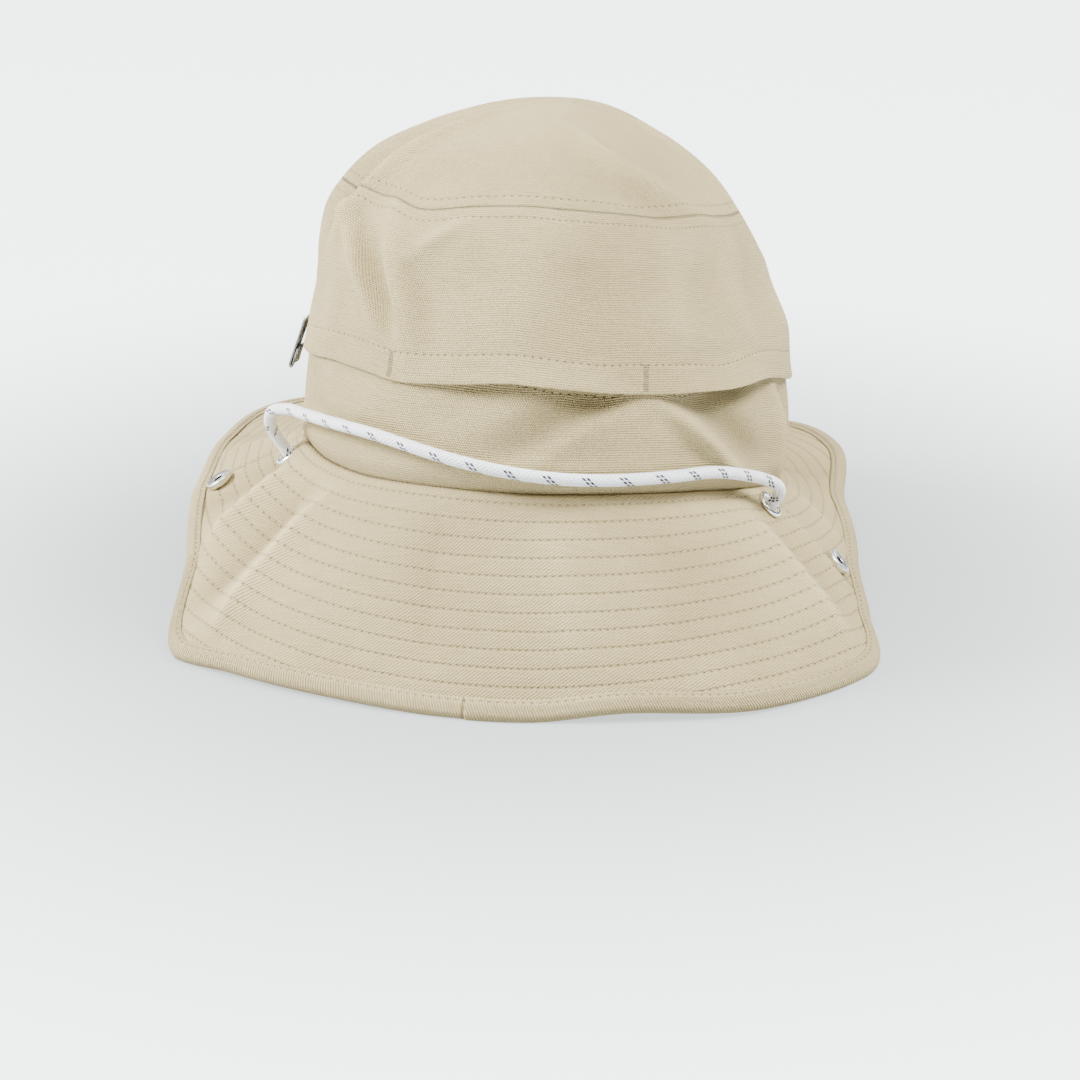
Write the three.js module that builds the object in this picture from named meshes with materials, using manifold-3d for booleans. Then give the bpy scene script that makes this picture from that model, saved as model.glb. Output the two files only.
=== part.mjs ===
// A cloth safari hat with a stitched brim that is long over the neck, and a chin cord.
// Millimetres and degrees, +Z up. The hat stands on z = 0 with its front toward -Y.
// Azimuths go round the hat from its back, 0, over its left side, +90 (+X).
import * as THREE from 'three';
import { mergeVertices } from 'three/addons/utils/BufferGeometryUtils.js';
import Module from 'manifold-3d';

const wasm = await Module();
wasm.setup();

// The head opening and the crown
const headHalfWidth = 86;
const headHalfLength = 98;
const crownHeight = 127.3;
const shoulderShare = 0.47;
const crownCloth = 1.6;
const flapOverlap = 11;
const flapFade = 26;
const seamGap = 0.3;

// How the hat stands: its crown seam's middle above the table, how far it leans,
// and the middle of its outline on the table, where its frame's origin goes
const seamLift = 47;
const leanForward = 10.5;
const leanRight = 4;
const middle = new THREE.Vector3(1.6, -9.1, 0);

// The brim and the tape that binds its edge
const brimWidth = 77;
const brimCloth = 2.4;
const bindingWidth = 7.2;
const bindingCloth = 0.9;
const bindingPress = 0.5;

// The fittings
const cordDiameter = 4.2;
const eyeletOuter = 10.7;
const eyeletWall = 0.75;
const eyeletFromSeam = 7.6;
const eyeletClearance = 1.1;
const fittingSeat = 0.5;
const studDiameter = 10;
const studHeight = 2.6;
const studPost = 3.2;
const studFromSeam = 0.494 * brimWidth;
const backPlate = 0.8;
const labelWidth = 20;
const labelDrop = 17.5;
const labelTape = 0.7;
const labelAzimuth = 84;
const stopperLength = 20;
const stopperWidth = 13;
const stopperHeight = 8;
const stopperPlace = new THREE.Vector3(0, -50, stopperHeight / 2);

// How finely the cloth is divided
const columns = 60;
const roundSides = 20;
const cordSides = 8;
const cordSteps = 78;

// The crown's half sizes at each height, as shares of the height and of the head's half sizes
const crownRows = [
  { height: 0.00, left: 1.00, right: 1.00, back: 1.00, front: 1.00 },
  { height: 0.15, left: 1.01, right: 1.01, back: 1.01, front: 1.01 },
  { height: 0.31, left: 1.00, right: 0.97, back: 0.99, front: 0.99 },
  { height: 0.42, left: 0.99, right: 0.935, back: 0.97, front: 0.97 },
  { height: 0.53, left: 1.015, right: 0.86, back: 0.94, front: 0.95 },
  { height: 0.63, left: 1.00, right: 0.81, back: 0.90, front: 0.92 },
  { height: 0.73, left: 0.94, right: 0.72, back: 0.825, front: 0.86 },
  { height: 0.82, left: 0.85, right: 0.615, back: 0.725, front: 0.775 },
  { height: 0.90, left: 0.64, right: 0.455, back: 0.57, front: 0.63 },
  { height: 0.955, left: 0.42, right: 0.28, back: 0.39, front: 0.45 },
  { height: 1.00, left: 0.00, right: 0.00, back: 0.00, front: 0.00 },
];

// Heights of the crown's three seams round the head, as shares of its height
const seamRows = [
  { azimuth: -180, brim: 0.000, hem: 0.314, tip: 0.730 },
  { azimuth: -120, brim: 0.000, hem: 0.314, tip: 0.730 },
  { azimuth: -92, brim: 0.000, hem: 0.291, tip: 0.730 },
  { azimuth: -62, brim: 0.016, hem: 0.322, tip: 0.730 },
  { azimuth: -45, brim: 0.024, hem: 0.302, tip: 0.730 },
  { azimuth: -28, brim: 0.020, hem: 0.287, tip: 0.730 },
  { azimuth: 0, brim: 0.000, hem: 0.290, tip: 0.730 },
  { azimuth: 15, brim: -0.008, hem: 0.268, tip: 0.715 },
  { azimuth: 29, brim: -0.016, hem: 0.253, tip: 0.691 },
  { azimuth: 38, brim: -0.020, hem: 0.262, tip: 0.707 },
  { azimuth: 50, brim: -0.016, hem: 0.267, tip: 0.715 },
  { azimuth: 70, brim: 0.000, hem: 0.253, tip: 0.730 },
  { azimuth: 90, brim: 0.000, hem: 0.253, tip: 0.730 },
  { azimuth: 130, brim: 0.000, hem: 0.314, tip: 0.730 },
];

// Where the upper band's hem stands off the lower band, as shares of the flap's overlap
const hemRows = [
  { azimuth: -180, stand: 0.05 },
  { azimuth: -75, stand: 0.05 },
  { azimuth: -48, stand: 0.34 },
  { azimuth: -30, stand: 0.04 },
  { azimuth: -14, stand: 0.20 },
  { azimuth: 5, stand: 0.08 },
  { azimuth: 30, stand: 0.02 },
  { azimuth: 90, stand: 0.05 },
];

// Ridges and dents of the crown: where, how wide, between which shares of the height,
// and how far out or in as a share of the head's half width
const foldRows = [
  { azimuth: 58, turn: -14, spread: 9, low: 0.56, high: 0.92, out: 0.045 },
  { azimuth: 84, turn: -10, spread: 15, low: 0.50, high: 0.92, out: -0.060 },
  { azimuth: 118, turn: -6, spread: 17, low: 0.50, high: 0.95, out: 0.050 },
  { azimuth: 48, turn: -22, spread: 7, low: 0.36, high: 0.68, out: 0.022 },
  { azimuth: 41, turn: -14, spread: 6, low: 0.34, high: 0.70, out: -0.026 },
  { azimuth: 33, turn: -12, spread: 6, low: 0.30, high: 0.66, out: 0.022 },
  { azimuth: -50, turn: 6, spread: 16, low: 0.60, high: 0.98, out: -0.030 },
  { azimuth: -72, turn: 0, spread: 10, low: 0.30, high: 0.80, out: 0.025 },
  { azimuth: -100, turn: 0, spread: 16, low: 0.45, high: 0.90, out: -0.035 },
  { azimuth: -43, turn: -14, spread: 6, low: 0.02, high: 0.30, out: 0.030 },
  { azimuth: -57, turn: -8, spread: 6, low: 0.02, high: 0.30, out: -0.030 },
  { azimuth: -69, turn: 0, spread: 5, low: 0.02, high: 0.30, out: 0.028 },
  { azimuth: 170, turn: 8, spread: 24, low: 0.45, high: 0.95, out: -0.030 },
];

// The brim's edge: how far out of the crown seam in plan, as a share of the brim's width,
// how far it swings round the hat, and its height as a share of the seam's height
const rimRows = [
  { azimuth: -180, out: 0.76, swing: 0, lift: 0.00 },
  { azimuth: -165, out: 0.755, swing: 0, lift: 0.09 },
  { azimuth: -150, out: 0.74, swing: 0, lift: 0.38 },
  { azimuth: -125, out: 0.58, swing: -2, lift: 0.52 },
  { azimuth: -100, out: 0.35, swing: -4, lift: 0.40 },
  { azimuth: -80, out: 0.37, swing: -6, lift: 0.25 },
  { azimuth: -63, out: 0.51, swing: -8, lift: 0.07 },
  { azimuth: -51, out: 0.73, swing: -6, lift: 0.00 },
  { azimuth: -36, out: 0.70, swing: -2, lift: 0.02 },
  { azimuth: -18, out: 0.55, swing: -1, lift: 0.06 },
  { azimuth: -4, out: 0.51, swing: -1, lift: 0.00 },
  { azimuth: 6, out: 0.51, swing: -1, lift: 0.00 },
  { azimuth: 20, out: 0.54, swing: 1, lift: 0.02 },
  { azimuth: 36, out: 0.66, swing: 4, lift: 0.03 },
  { azimuth: 48, out: 0.78, swing: 4, lift: 0.00 },
  { azimuth: 60, out: 0.57, swing: 5, lift: 0.44 },
  { azimuth: 78, out: 0.53, swing: 8, lift: 0.63 },
  { azimuth: 100, out: 0.62, swing: 6, lift: 0.67 },
  { azimuth: 125, out: 0.76, swing: 2, lift: 0.63 },
  { azimuth: 150, out: 0.76, swing: 0, lift: 0.42 },
  { azimuth: 165, out: 0.76, swing: 0, lift: 0.10 },
];

// The fittings on the brim: an eyelet for the cord and a press stud on each side
const eyeletRows = [
  { side: 'left', azimuth: 71 },
  { side: 'right', azimuth: -65 },
];
const studRows = [
  { side: 'left', azimuth: 75 },
  { side: 'right', azimuth: -70 },
];

// The chin cord from its stopper, up through the left eyelet, round the back of the crown,
// down through the right eyelet and back along the table to the stopper
const cordRoute = [
  [10.4, -50, 4], [17, -50, 3.4], [28, -46.5, 2.1], [36, -38, 2.1], [38, -26, 2.1],
  [30, -13, 2.1], [20, -2, 2.1], [16, 12, 2.1], [25, 23.5, 2.1], [38, 23, 2.1],
  [52, 18, 2.1], [65, 18.5, 2.6], [74, 24.5, 9], [78.2, 29, 21], [80.6, 30.2, 36],
  [83.8, 30.6, 47], [87.1, 31.1, 52.8], [89.8, 31.6, 57.4], [92.6, 34, 64.2],
  [90.6, 39.4, 71], [83.6, 45.6, 74.2], [74.2, 57, 76], [62, 70.2, 77.8],
  [46.2, 84, 79.2], [27, 94.4, 77.4], [13.6, 98.4, 75.4], [-3, 99.6, 72.8],
  [-20, 97.8, 70.8], [-36, 92, 69.2], [-53, 82.6, 68], [-67, 69.4, 65.8], [-75.4, 59.4, 62],
  [-82, 50.5, 57.8], [-86.2, 46.8, 55], [-87.9, 44, 51.8], [-87, 41.6, 48.2],
  [-83.4, 40.4, 43.8], [-78.6, 39.6, 39], [-75, 37.4, 30], [-73, 33, 17], [-68.5, 27.6, 6.6],
  [-60, 21, 2.3], [-48, 15, 2.1], [-35, 15.5, 2.1], [-23, 14, 2.1], [-17, 3, 2.1],
  [-22, -8, 2.1], [-32, -17, 2.1], [-38, -28, 2.1], [-36, -40, 2.1], [-28, -47, 2.1],
  [-17, -50, 3.4], [-10.4, -50, 4],
];

const cloth = new THREE.MeshStandardMaterial({ color: 0xd3ccbb, roughness: 0.9, metalness: 0 });
const metal = new THREE.MeshStandardMaterial({ color: 0xd9dad8, roughness: 0.3, metalness: 1 });
const tape = new THREE.MeshStandardMaterial({ color: 0x9a9c9b, roughness: 0.8, metalness: 0 });
const braid = new THREE.MeshStandardMaterial({ color: 0xf1f2f2, roughness: 0.7, metalness: 0 });
const plastic = new THREE.MeshStandardMaterial({ color: 0xd8d6cf, roughness: 0.5, metalness: 0 });

const radians = THREE.MathUtils.degToRad;

// A smooth curve through a table's column that never overshoots its rows
function smoothColumn(rows, key, column, period = 0) {
  const count = rows.length;
  const wrap = (k) => ((k % count) + count) % count;
  const at = (k) => (period ? rows[wrap(k)][key] + period * Math.floor(k / count)
    : rows[Math.min(Math.max(k, 0), count - 1)][key]);
  const value = (k) => rows[period ? wrap(k) : Math.min(Math.max(k, 0), count - 1)][column];
  const rate = (place) => {
    const k = period ? place : THREE.MathUtils.clamp(place, 0, count - 2);
    return (value(k + 1) - value(k)) / (at(k + 1) - at(k));
  };
  const tangent = (k) => {
    const [before, after] = [rate(k - 1), rate(k)];
    return before * after <= 0 ? 0 : (2 * before * after) / (before + after);
  };
  return (x) => {
    let place = x;
    if (period) place = x - period * Math.floor((x - rows[0][key]) / period);
    let k = 0;
    while (k < count - (period ? 1 : 2) && at(k + 1) <= place) k += 1;
    const span = at(k + 1) - at(k);
    const u = THREE.MathUtils.clamp((place - at(k)) / span, 0, 1);
    return (2 * u ** 3 - 3 * u ** 2 + 1) * value(k) + (u ** 3 - 2 * u ** 2 + u) * span * tangent(k)
      + (3 * u ** 2 - 2 * u ** 3) * value(k + 1) + (u ** 3 - u ** 2) * span * tangent(k + 1);
  };
}

const crownByFall = crownRows
  .map((row) => ({ ...row, fall: Math.sqrt(1 - row.height) }))
  .reverse();
const crownLeft = smoothColumn(crownByFall, 'fall', 'left');
const crownRight = smoothColumn(crownByFall, 'fall', 'right');
const crownBack = smoothColumn(crownByFall, 'fall', 'back');
const crownFront = smoothColumn(crownByFall, 'fall', 'front');
const brimSeam = smoothColumn(seamRows, 'azimuth', 'brim', 360);
const hemSeam = smoothColumn(seamRows, 'azimuth', 'hem', 360);
const tipSeam = smoothColumn(seamRows, 'azimuth', 'tip', 360);
const hemStand = smoothColumn(hemRows, 'azimuth', 'stand', 360);
const rimOut = smoothColumn(rimRows, 'azimuth', 'out', 360);
const rimSwing = smoothColumn(rimRows, 'azimuth', 'swing', 360);
const rimLift = smoothColumn(rimRows, 'azimuth', 'lift', 360);

// The turned frame of the crown: leaning forward and to the right over its seam's middle
const crownFrame = new THREE.Matrix4().makeTranslation(0, 0, seamLift)
  .multiply(new THREE.Matrix4().makeRotationY(radians(-leanRight)))
  .multiply(new THREE.Matrix4().makeRotationX(radians(leanForward)));

// How far the crown's folds push its wall out at an azimuth and a share of its height
function foldOut(azimuth, share) {
  let out = 0;
  for (const fold of foldRows) {
    const up = (share - fold.low) / (fold.high - fold.low);
    if (up <= 0 || up >= 1) continue;
    const centre = fold.azimuth + fold.turn * (0.5 - up);
    const off = ((azimuth - centre + 540) % 360) - 180;
    out += fold.out * Math.sin(Math.PI * up) * Math.exp(-((off / fold.spread) ** 2));
  }
  return out * headHalfWidth;
}

// A point of the crown's wall, set out from its face by so much, in the crown's own frame
function crownPoint(azimuth, height, setOut = 0) {
  const share = Math.min(height / crownHeight, 1);
  const fall = Math.sqrt(1 - share);
  const angle = radians(azimuth);
  const side = (Math.sin(angle) > 0 ? crownLeft(fall) : crownRight(fall)) * headHalfWidth;
  const end = (Math.cos(angle) > 0 ? crownBack(fall) : crownFront(fall)) * headHalfLength;
  const point = new THREE.Vector3(side * Math.sin(angle), end * Math.cos(angle), share * crownHeight);
  const shoulder = shoulderShare * crownHeight;
  const normal = new THREE.Vector3(
    Math.sin(angle) * side / headHalfWidth ** 2,
    Math.cos(angle) * end / headHalfLength ** 2,
    Math.max(point.z - shoulder, 0) / (crownHeight - shoulder) ** 2,
  ).normalize();
  return point.addScaledVector(normal, setOut + foldOut(azimuth, share));
}

// The seam between crown and brim, on the table's frame
function seamPoint(azimuth, drop = 0, inset = 0) {
  const point = crownPoint(azimuth, 0, -inset);
  point.z = brimSeam(azimuth) * crownHeight - drop;
  return point.applyMatrix4(crownFrame);
}

const edgeRadius = brimCloth / 2 + seamGap + bindingCloth;

// The brim's outermost edge, set so that the bound edge just presses on the table where it rests
function rimPoint(azimuth) {
  const seam = seamPoint(azimuth);
  const angle = radians(azimuth);
  const out = new THREE.Vector2(Math.sin(angle) / headHalfWidth, Math.cos(angle) / headHalfLength)
    .normalize().multiplyScalar(rimOut(azimuth) * brimWidth);
  const plan = new THREE.Vector2(seam.x + out.x, seam.y + out.y)
    .rotateAround(new THREE.Vector2(), -radians(rimSwing(azimuth)));
  const low = rimLift(azimuth) * seamLift - bindingPress;
  const slope = Math.atan2(seam.z - low, plan.distanceTo(new THREE.Vector2(seam.x, seam.y)));
  return new THREE.Vector3(plan.x, plan.y, low + edgeRadius * (1 - Math.sin(slope)));
}

// A point of the brim's middle layer, from 0 at the crown to 1 at its edge, and its axes there
function brimPoint(azimuth, share) {
  return seamPoint(azimuth, seamGap + brimCloth / 2).lerp(rimPoint(azimuth), share);
}

function brimAxes(azimuth, share) {
  const [inner, outer] = [brimPoint(azimuth, 0), brimPoint(azimuth, 1)];
  const out = outer.clone().sub(inner);
  const width = out.length();
  out.normalize();
  const round = brimPoint(azimuth + 1, share).sub(brimPoint(azimuth - 1, share));
  const normal = new THREE.Vector3().crossVectors(round, out).normalize();
  if (normal.z < 0) normal.negate();
  return { out, normal, width };
}

// Turns a mesh outwards if its faces point in
function facingOut(geometry) {
  const place = geometry.attributes.position;
  const index = geometry.index.array;
  const [a, b, c] = [new THREE.Vector3(), new THREE.Vector3(), new THREE.Vector3()];
  let volume = 0;
  for (let k = 0; k < index.length; k += 3) {
    a.fromBufferAttribute(place, index[k]);
    b.fromBufferAttribute(place, index[k + 1]);
    c.fromBufferAttribute(place, index[k + 2]);
    volume += a.dot(b.cross(c));
  }
  if (volume < 0) {
    for (let k = 0; k < index.length; k += 3) {
      [index[k], index[k + 1]] = [index[k + 1], index[k]];
    }
  }
  return geometry;
}

// A closed body from one wall section at each azimuth. An open section starts and ends
// on points that all azimuths share, at the crown's top.
function wrapSections(sections, open = false) {
  const places = [];
  const faces = [];
  const count = sections[0].length;
  const around = sections.length;
  const first = open ? 1 : 0;
  const inner = count - 2 * first;
  for (const section of sections) {
    for (const point of section.slice(first, count - first)) places.push(...point.toArray());
  }
  const at = (column, row) => (column % around) * inner + (row % inner);
  for (let column = 0; column < around; column += 1) {
    for (let row = 0; row < inner - (open ? 1 : 0); row += 1) {
      const corner = [at(column, row), at(column + 1, row), at(column + 1, row + 1), at(column, row + 1)];
      faces.push(corner[0], corner[1], corner[2], corner[0], corner[2], corner[3]);
    }
  }
  if (open) {
    const start = places.length / 3;
    places.push(...sections[0][0].toArray(), ...sections[0][count - 1].toArray());
    for (let column = 0; column < around; column += 1) {
      faces.push(start, at(column + 1, 0), at(column, 0));
      faces.push(start + 1, at(column, inner - 1), at(column + 1, inner - 1));
    }
  }
  const geometry = new THREE.BufferGeometry();
  geometry.setAttribute('position', new THREE.Float32BufferAttribute(places, 3));
  geometry.setIndex(faces);
  return facingOut(geometry);
}

function everyAzimuth(makeSection) {
  return Array.from({ length: columns }, (_, k) => makeSection(-180 + (360 * k) / columns));
}

// Shared vertices only, for a mesh from a three.js class
function plain(geometry) {
  const bare = geometry.clone();
  bare.deleteAttribute('normal');
  bare.deleteAttribute('uv');
  return facingOut(mergeVertices(bare, 1e-4));
}

function toManifold(geometry) {
  const vertProperties = new Float32Array(geometry.attributes.position.array);
  const triVerts = new Uint32Array(geometry.index.array);
  return new wasm.Manifold(new wasm.Mesh({ numProp: 3, vertProperties, triVerts }));
}

function fromManifold(body) {
  const mesh = body.getMesh();
  const geometry = new THREE.BufferGeometry();
  geometry.setAttribute('position', new THREE.Float32BufferAttribute(mesh.vertProperties, 3));
  geometry.setIndex(Array.from(mesh.triVerts));
  return geometry;
}

function named(name, geometry, material) {
  const mesh = new THREE.Mesh(geometry, material.clone());
  mesh.name = name;
  return mesh;
}

const spread = (count, value) => Array.from({ length: count + 1 }, (_, k) => value(k / count));

// The lower band: from the brim seam up behind the flap
function lowerBand() {
  return wrapSections(everyAzimuth((azimuth) => {
    const low = brimSeam(azimuth) * crownHeight + seamGap / 2;
    const high = hemSeam(azimuth) * crownHeight + flapOverlap;
    const wall = (setOut) => spread(4, (u) => crownPoint(azimuth, low + (high - low) * u, setOut));
    return [...wall(0), ...wall(-crownCloth).reverse()];
  }));
}

// How far the upper band's outer face stands out of the crown's face
function flapOut(azimuth, aboveHem) {
  const over = THREE.MathUtils.clamp(1 - aboveHem / flapOverlap, 0, 1);
  const fade = THREE.MathUtils.smoothstep(aboveHem, flapOverlap + 2, flapOverlap + flapFade);
  return (crownCloth + seamGap) * (1 - fade) + hemStand(azimuth) * flapOverlap * over ** 2;
}

// The upper band: its hemmed lower edge hangs over the lower band as a flap
function upperBand() {
  return wrapSections(everyAzimuth((azimuth) => {
    const low = hemSeam(azimuth) * crownHeight;
    const high = tipSeam(azimuth) * crownHeight - seamGap / 2;
    const heights = [0, 0.06, 0.13, 0.22, 0.35, 0.5, 0.66, 0.83, 1].map((u) => low + (high - low) * u);
    const wall = (inset) => heights.map((h) => crownPoint(azimuth, h, flapOut(azimuth, h - low) - inset));
    return [...wall(0), ...wall(crownCloth).reverse()];
  }));
}

// The tip: the domed top piece
function tipPiece() {
  const rows = 7;
  const top = crownPoint(0, crownHeight);
  return wrapSections(everyAzimuth((azimuth) => {
    const low = tipSeam(azimuth) * crownHeight + seamGap / 2;
    const fall = Math.sqrt(1 - low / crownHeight);
    const wall = (setOut) => spread(rows, (u) => crownPoint(
      azimuth, crownHeight * (1 - (fall * u) ** 2), u === 0 ? 0 : setOut));
    const inner = wall(-crownCloth).slice(1);
    const under = top.clone().setZ(top.z - crownCloth);
    return [top, ...wall(0).slice(1), ...inner.reverse(), under];
  }), true);
}

// The brim: one stiff quilted layer from under the lower band's edge into the binding
function brimSheet() {
  const rows = 7;
  return wrapSections(everyAzimuth((azimuth) => {
    const { normal, width } = brimAxes(azimuth, 0.5);
    const end = 1 - (edgeRadius + seamGap) / width;
    const face = (side) => spread(rows, (u) => brimPoint(azimuth, end * u)
      .addScaledVector(brimAxes(azimuth, end * u).normal, side * brimCloth / 2));
    const under = (drop) => seamPoint(azimuth, seamGap + drop, crownCloth);
    return [under(0), ...face(1), ...face(-1).reverse(), under(brimCloth)];
  }));
}

// The binding: a tape folded round the brim's edge, pressed flat where it rests
function bindingTape() {
  const bend = [90, 45, 0, -45, -90];
  const hollow = edgeRadius - bindingCloth;
  return wrapSections(everyAzimuth((azimuth) => {
    const { out, normal } = brimAxes(azimuth, 1);
    const middle = rimPoint(azimuth).addScaledVector(out, -edgeRadius);
    const back = edgeRadius - bindingWidth;
    const place = (along, up) => middle.clone().addScaledVector(out, along).addScaledVector(normal, up);
    const section = [place(back, edgeRadius)];
    for (const turn of bend) {
      section.push(place(edgeRadius * Math.cos(radians(turn)), edgeRadius * Math.sin(radians(turn))));
    }
    section.push(place(back, -edgeRadius), place(back, -hollow), place(0, -hollow));
    section.push(place(hollow * 0.8, 0), place(0, hollow), place(back, hollow));
    for (const point of section) point.z = Math.max(point.z, 0);
    return section;
  }));
}

// Stands a turned fitting in the brim, its axis along the cloth's normal
function onBrim(geometry, azimuth, fromSeam) {
  const { width } = brimAxes(azimuth, 0);
  const share = fromSeam / width;
  const { normal } = brimAxes(azimuth, share);
  const turn = new THREE.Quaternion().setFromUnitVectors(new THREE.Vector3(0, 1, 0), normal);
  return geometry.clone().applyQuaternion(turn).translate(...brimPoint(azimuth, share).toArray());
}

const turned = (profile) => plain(new THREE.LatheGeometry(
  profile.map(([radius, height]) => new THREE.Vector2(radius, height)), roundSides));

const eyeletBore = cordDiameter / 2 + eyeletClearance;
const eyeletBarrel = eyeletBore + eyeletWall;
const seat = brimCloth / 2 + fittingSeat;

// An eyelet: a rolled rim on the brim, a barrel through it and a flange behind
function eyelet() {
  const outer = eyeletOuter / 2;
  return turned([
    [eyeletBore, -seat - backPlate], [outer - 0.3, -seat - backPlate], [outer - 0.3, -seat],
    [eyeletBarrel, -seat], [eyeletBarrel, seat], [outer, seat], [outer, seat + backPlate * 0.6],
    [outer - 0.8, seat + backPlate], [eyeletBore + 0.4, seat + backPlate], [eyeletBore, seat + backPlate * 0.4],
    [eyeletBore, -seat - backPlate],
  ]);
}

// A press stud: a capped ring on the brim, its post and its back plate
function pressStud() {
  const outer = studDiameter / 2;
  const top = seat + studHeight;
  const back = outer * 0.9;
  return turned([
    [0, -seat - backPlate], [back, -seat - backPlate], [back, -seat], [studPost / 2, -seat],
    [studPost / 2, seat], [outer, seat], [outer, top - 0.8], [outer - 0.7, top], [outer * 0.42, top],
    [outer * 0.3, top - 0.5], [outer * 0.26, seat + 0.6], [0, seat + 0.6],
  ]);
}

function bore(radius) {
  const reach = 3 * brimCloth;
  return turned([[0, -reach], [radius, -reach], [radius, reach], [0, reach]]);
}

// The side label: a folded tape hanging from the flap's stitch line
function sideLabel() {
  const drop = labelDrop;
  const shape = new THREE.Shape([
    [0.3, 0], [0.3 + labelTape, 0], [5.2, -drop + 1.4], [5, -drop + 0.4], [4.2, -drop],
    [3.3, -drop + 0.5], [2, -drop * 0.62], [2.5, -drop * 0.62], [3.8, -drop + 1.5],
    [4.3, -drop + 1.6],
  ].map(([out, up]) => new THREE.Vector2(out, up)));
  const strip = plain(new THREE.ExtrudeGeometry(shape, { depth: labelWidth, bevelEnabled: false }));
  const top = hemSeam(labelAzimuth) * crownHeight + flapOverlap * 0.8;
  const face = crownPoint(labelAzimuth, top, flapOut(labelAzimuth, flapOverlap * 0.8) + seamGap);
  const angle = Math.atan2(face.y / headHalfLength ** 2, face.x / headHalfWidth ** 2);
  strip.translate(0, 0, -labelWidth / 2);
  strip.rotateX(Math.PI / 2);
  strip.rotateZ(angle);
  return strip.translate(face.x, face.y, face.z);
}

// The cord: a round braid along its route, with rings closer together in the bends
function chinCord() {
  const path = new THREE.CatmullRomCurve3(cordRoute.map((p) => new THREE.Vector3(...p)), false, 'centripetal');
  path.getPointAt = (u) => {
    const point = path.getPoint(u);
    return point.setZ(Math.max(point.z, cordDiameter / 2 + 0.05));
  };
  path.getTangentAt = (u) => path.getTangent(u);
  const section = new THREE.Shape(spread(cordSides - 1, (u) => {
    const turn = (2 * Math.PI * u * (cordSides - 1)) / cordSides;
    return new THREE.Vector2(Math.cos(turn), Math.sin(turn)).multiplyScalar(cordDiameter / 2);
  }));
  return plain(new THREE.ExtrudeGeometry(section, { steps: cordSteps, extrudePath: path, bevelEnabled: false }));
}

// The stopper: a rounded block that takes both ends of the cord
function cordStopper() {
  const [halfWidth, halfHeight] = [stopperWidth / 2, stopperHeight / 2];
  const corner = halfHeight * 0.8;
  const shape = new THREE.Shape();
  shape.absarc(halfWidth - corner, halfHeight - corner, corner, 0, Math.PI / 2);
  shape.absarc(corner - halfWidth, halfHeight - corner, corner, Math.PI / 2, Math.PI);
  shape.absarc(corner - halfWidth, corner - halfHeight, corner, Math.PI, 1.5 * Math.PI);
  shape.absarc(halfWidth - corner, corner - halfHeight, corner, 1.5 * Math.PI, 2 * Math.PI);
  const block = plain(new THREE.ExtrudeGeometry(shape, {
    depth: stopperLength, bevelEnabled: false, curveSegments: 4,
  }));
  block.translate(0, 0, -stopperLength / 2);
  block.rotateX(Math.PI / 2);
  block.rotateZ(Math.PI / 2);
  return block.translate(...stopperPlace.toArray());
}

let brimBody = toManifold(brimSheet());
for (const { azimuth } of eyeletRows) {
  brimBody = brimBody.subtract(toManifold(onBrim(bore(eyeletBarrel + seamGap), azimuth, eyeletFromSeam)));
}
for (const { azimuth } of studRows) {
  brimBody = brimBody.subtract(toManifold(onBrim(bore(studPost / 2 + seamGap), azimuth, studFromSeam)));
}

const crown = new THREE.Group();
crown.applyMatrix4(crownFrame);
crown.add(
  named('crown_tip', tipPiece(), cloth),
  named('crown_upper_band', upperBand(), cloth),
  named('crown_lower_band', lowerBand(), cloth),
  named('side_label', sideLabel(), tape),
);

const hat = new THREE.Group();
hat.add(crown, named('brim', fromManifold(brimBody), cloth), named('brim_binding', bindingTape(), cloth));
for (const { side, azimuth } of eyeletRows) {
  hat.add(named(`eyelet_${side}`, onBrim(eyelet(), azimuth, eyeletFromSeam), metal));
}
for (const { side, azimuth } of studRows) {
  hat.add(named(`press_stud_${side}`, onBrim(pressStud(), azimuth, studFromSeam), metal));
}
hat.add(named('chin_cord', chinCord(), braid), named('cord_stopper', cordStopper(), plastic));
hat.position.copy(middle).negate();

export default hat;
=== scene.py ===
# A cloth safari hat with a quilted brim, a flap over its band and a chin cord,
# standing by itself on a pale table and seen from behind, a little above.
import bmesh
import bpy
import numpy as np
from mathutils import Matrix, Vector


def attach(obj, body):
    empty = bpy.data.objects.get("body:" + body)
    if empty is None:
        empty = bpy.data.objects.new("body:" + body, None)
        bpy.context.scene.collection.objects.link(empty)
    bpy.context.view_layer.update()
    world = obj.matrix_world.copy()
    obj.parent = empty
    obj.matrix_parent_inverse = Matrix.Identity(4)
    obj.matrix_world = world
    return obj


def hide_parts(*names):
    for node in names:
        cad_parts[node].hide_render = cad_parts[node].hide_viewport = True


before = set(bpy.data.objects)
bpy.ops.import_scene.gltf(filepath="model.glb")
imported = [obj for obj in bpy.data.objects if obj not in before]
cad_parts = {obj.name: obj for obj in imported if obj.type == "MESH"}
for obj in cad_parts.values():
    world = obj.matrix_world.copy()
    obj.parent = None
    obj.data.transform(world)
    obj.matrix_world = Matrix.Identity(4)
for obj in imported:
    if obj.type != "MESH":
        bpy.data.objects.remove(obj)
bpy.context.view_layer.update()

# --- The view -------------------------------------------------------------------------
# The hat is looked at from behind and a little from its right, through a long lens.
# Places are worked out in millimetres about the crown, and put on the table's frame here.
MIDDLE = np.array([1.6, -9.1, 0.0])


def on_table(points):
    """Metres on the table from millimetres about the crown: (p - middle) / 1000."""
    return (np.asarray(points, float) - MIDDLE) * 0.001


def toward(azimuth, elevation):
    """The unit arrow from the hat to an eye at these angles, in degrees: 0 is the front."""
    a, e = np.radians(azimuth), np.radians(elevation)
    return np.array([np.sin(a) * np.cos(e), -np.cos(a) * np.cos(e), np.sin(e)])


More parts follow.
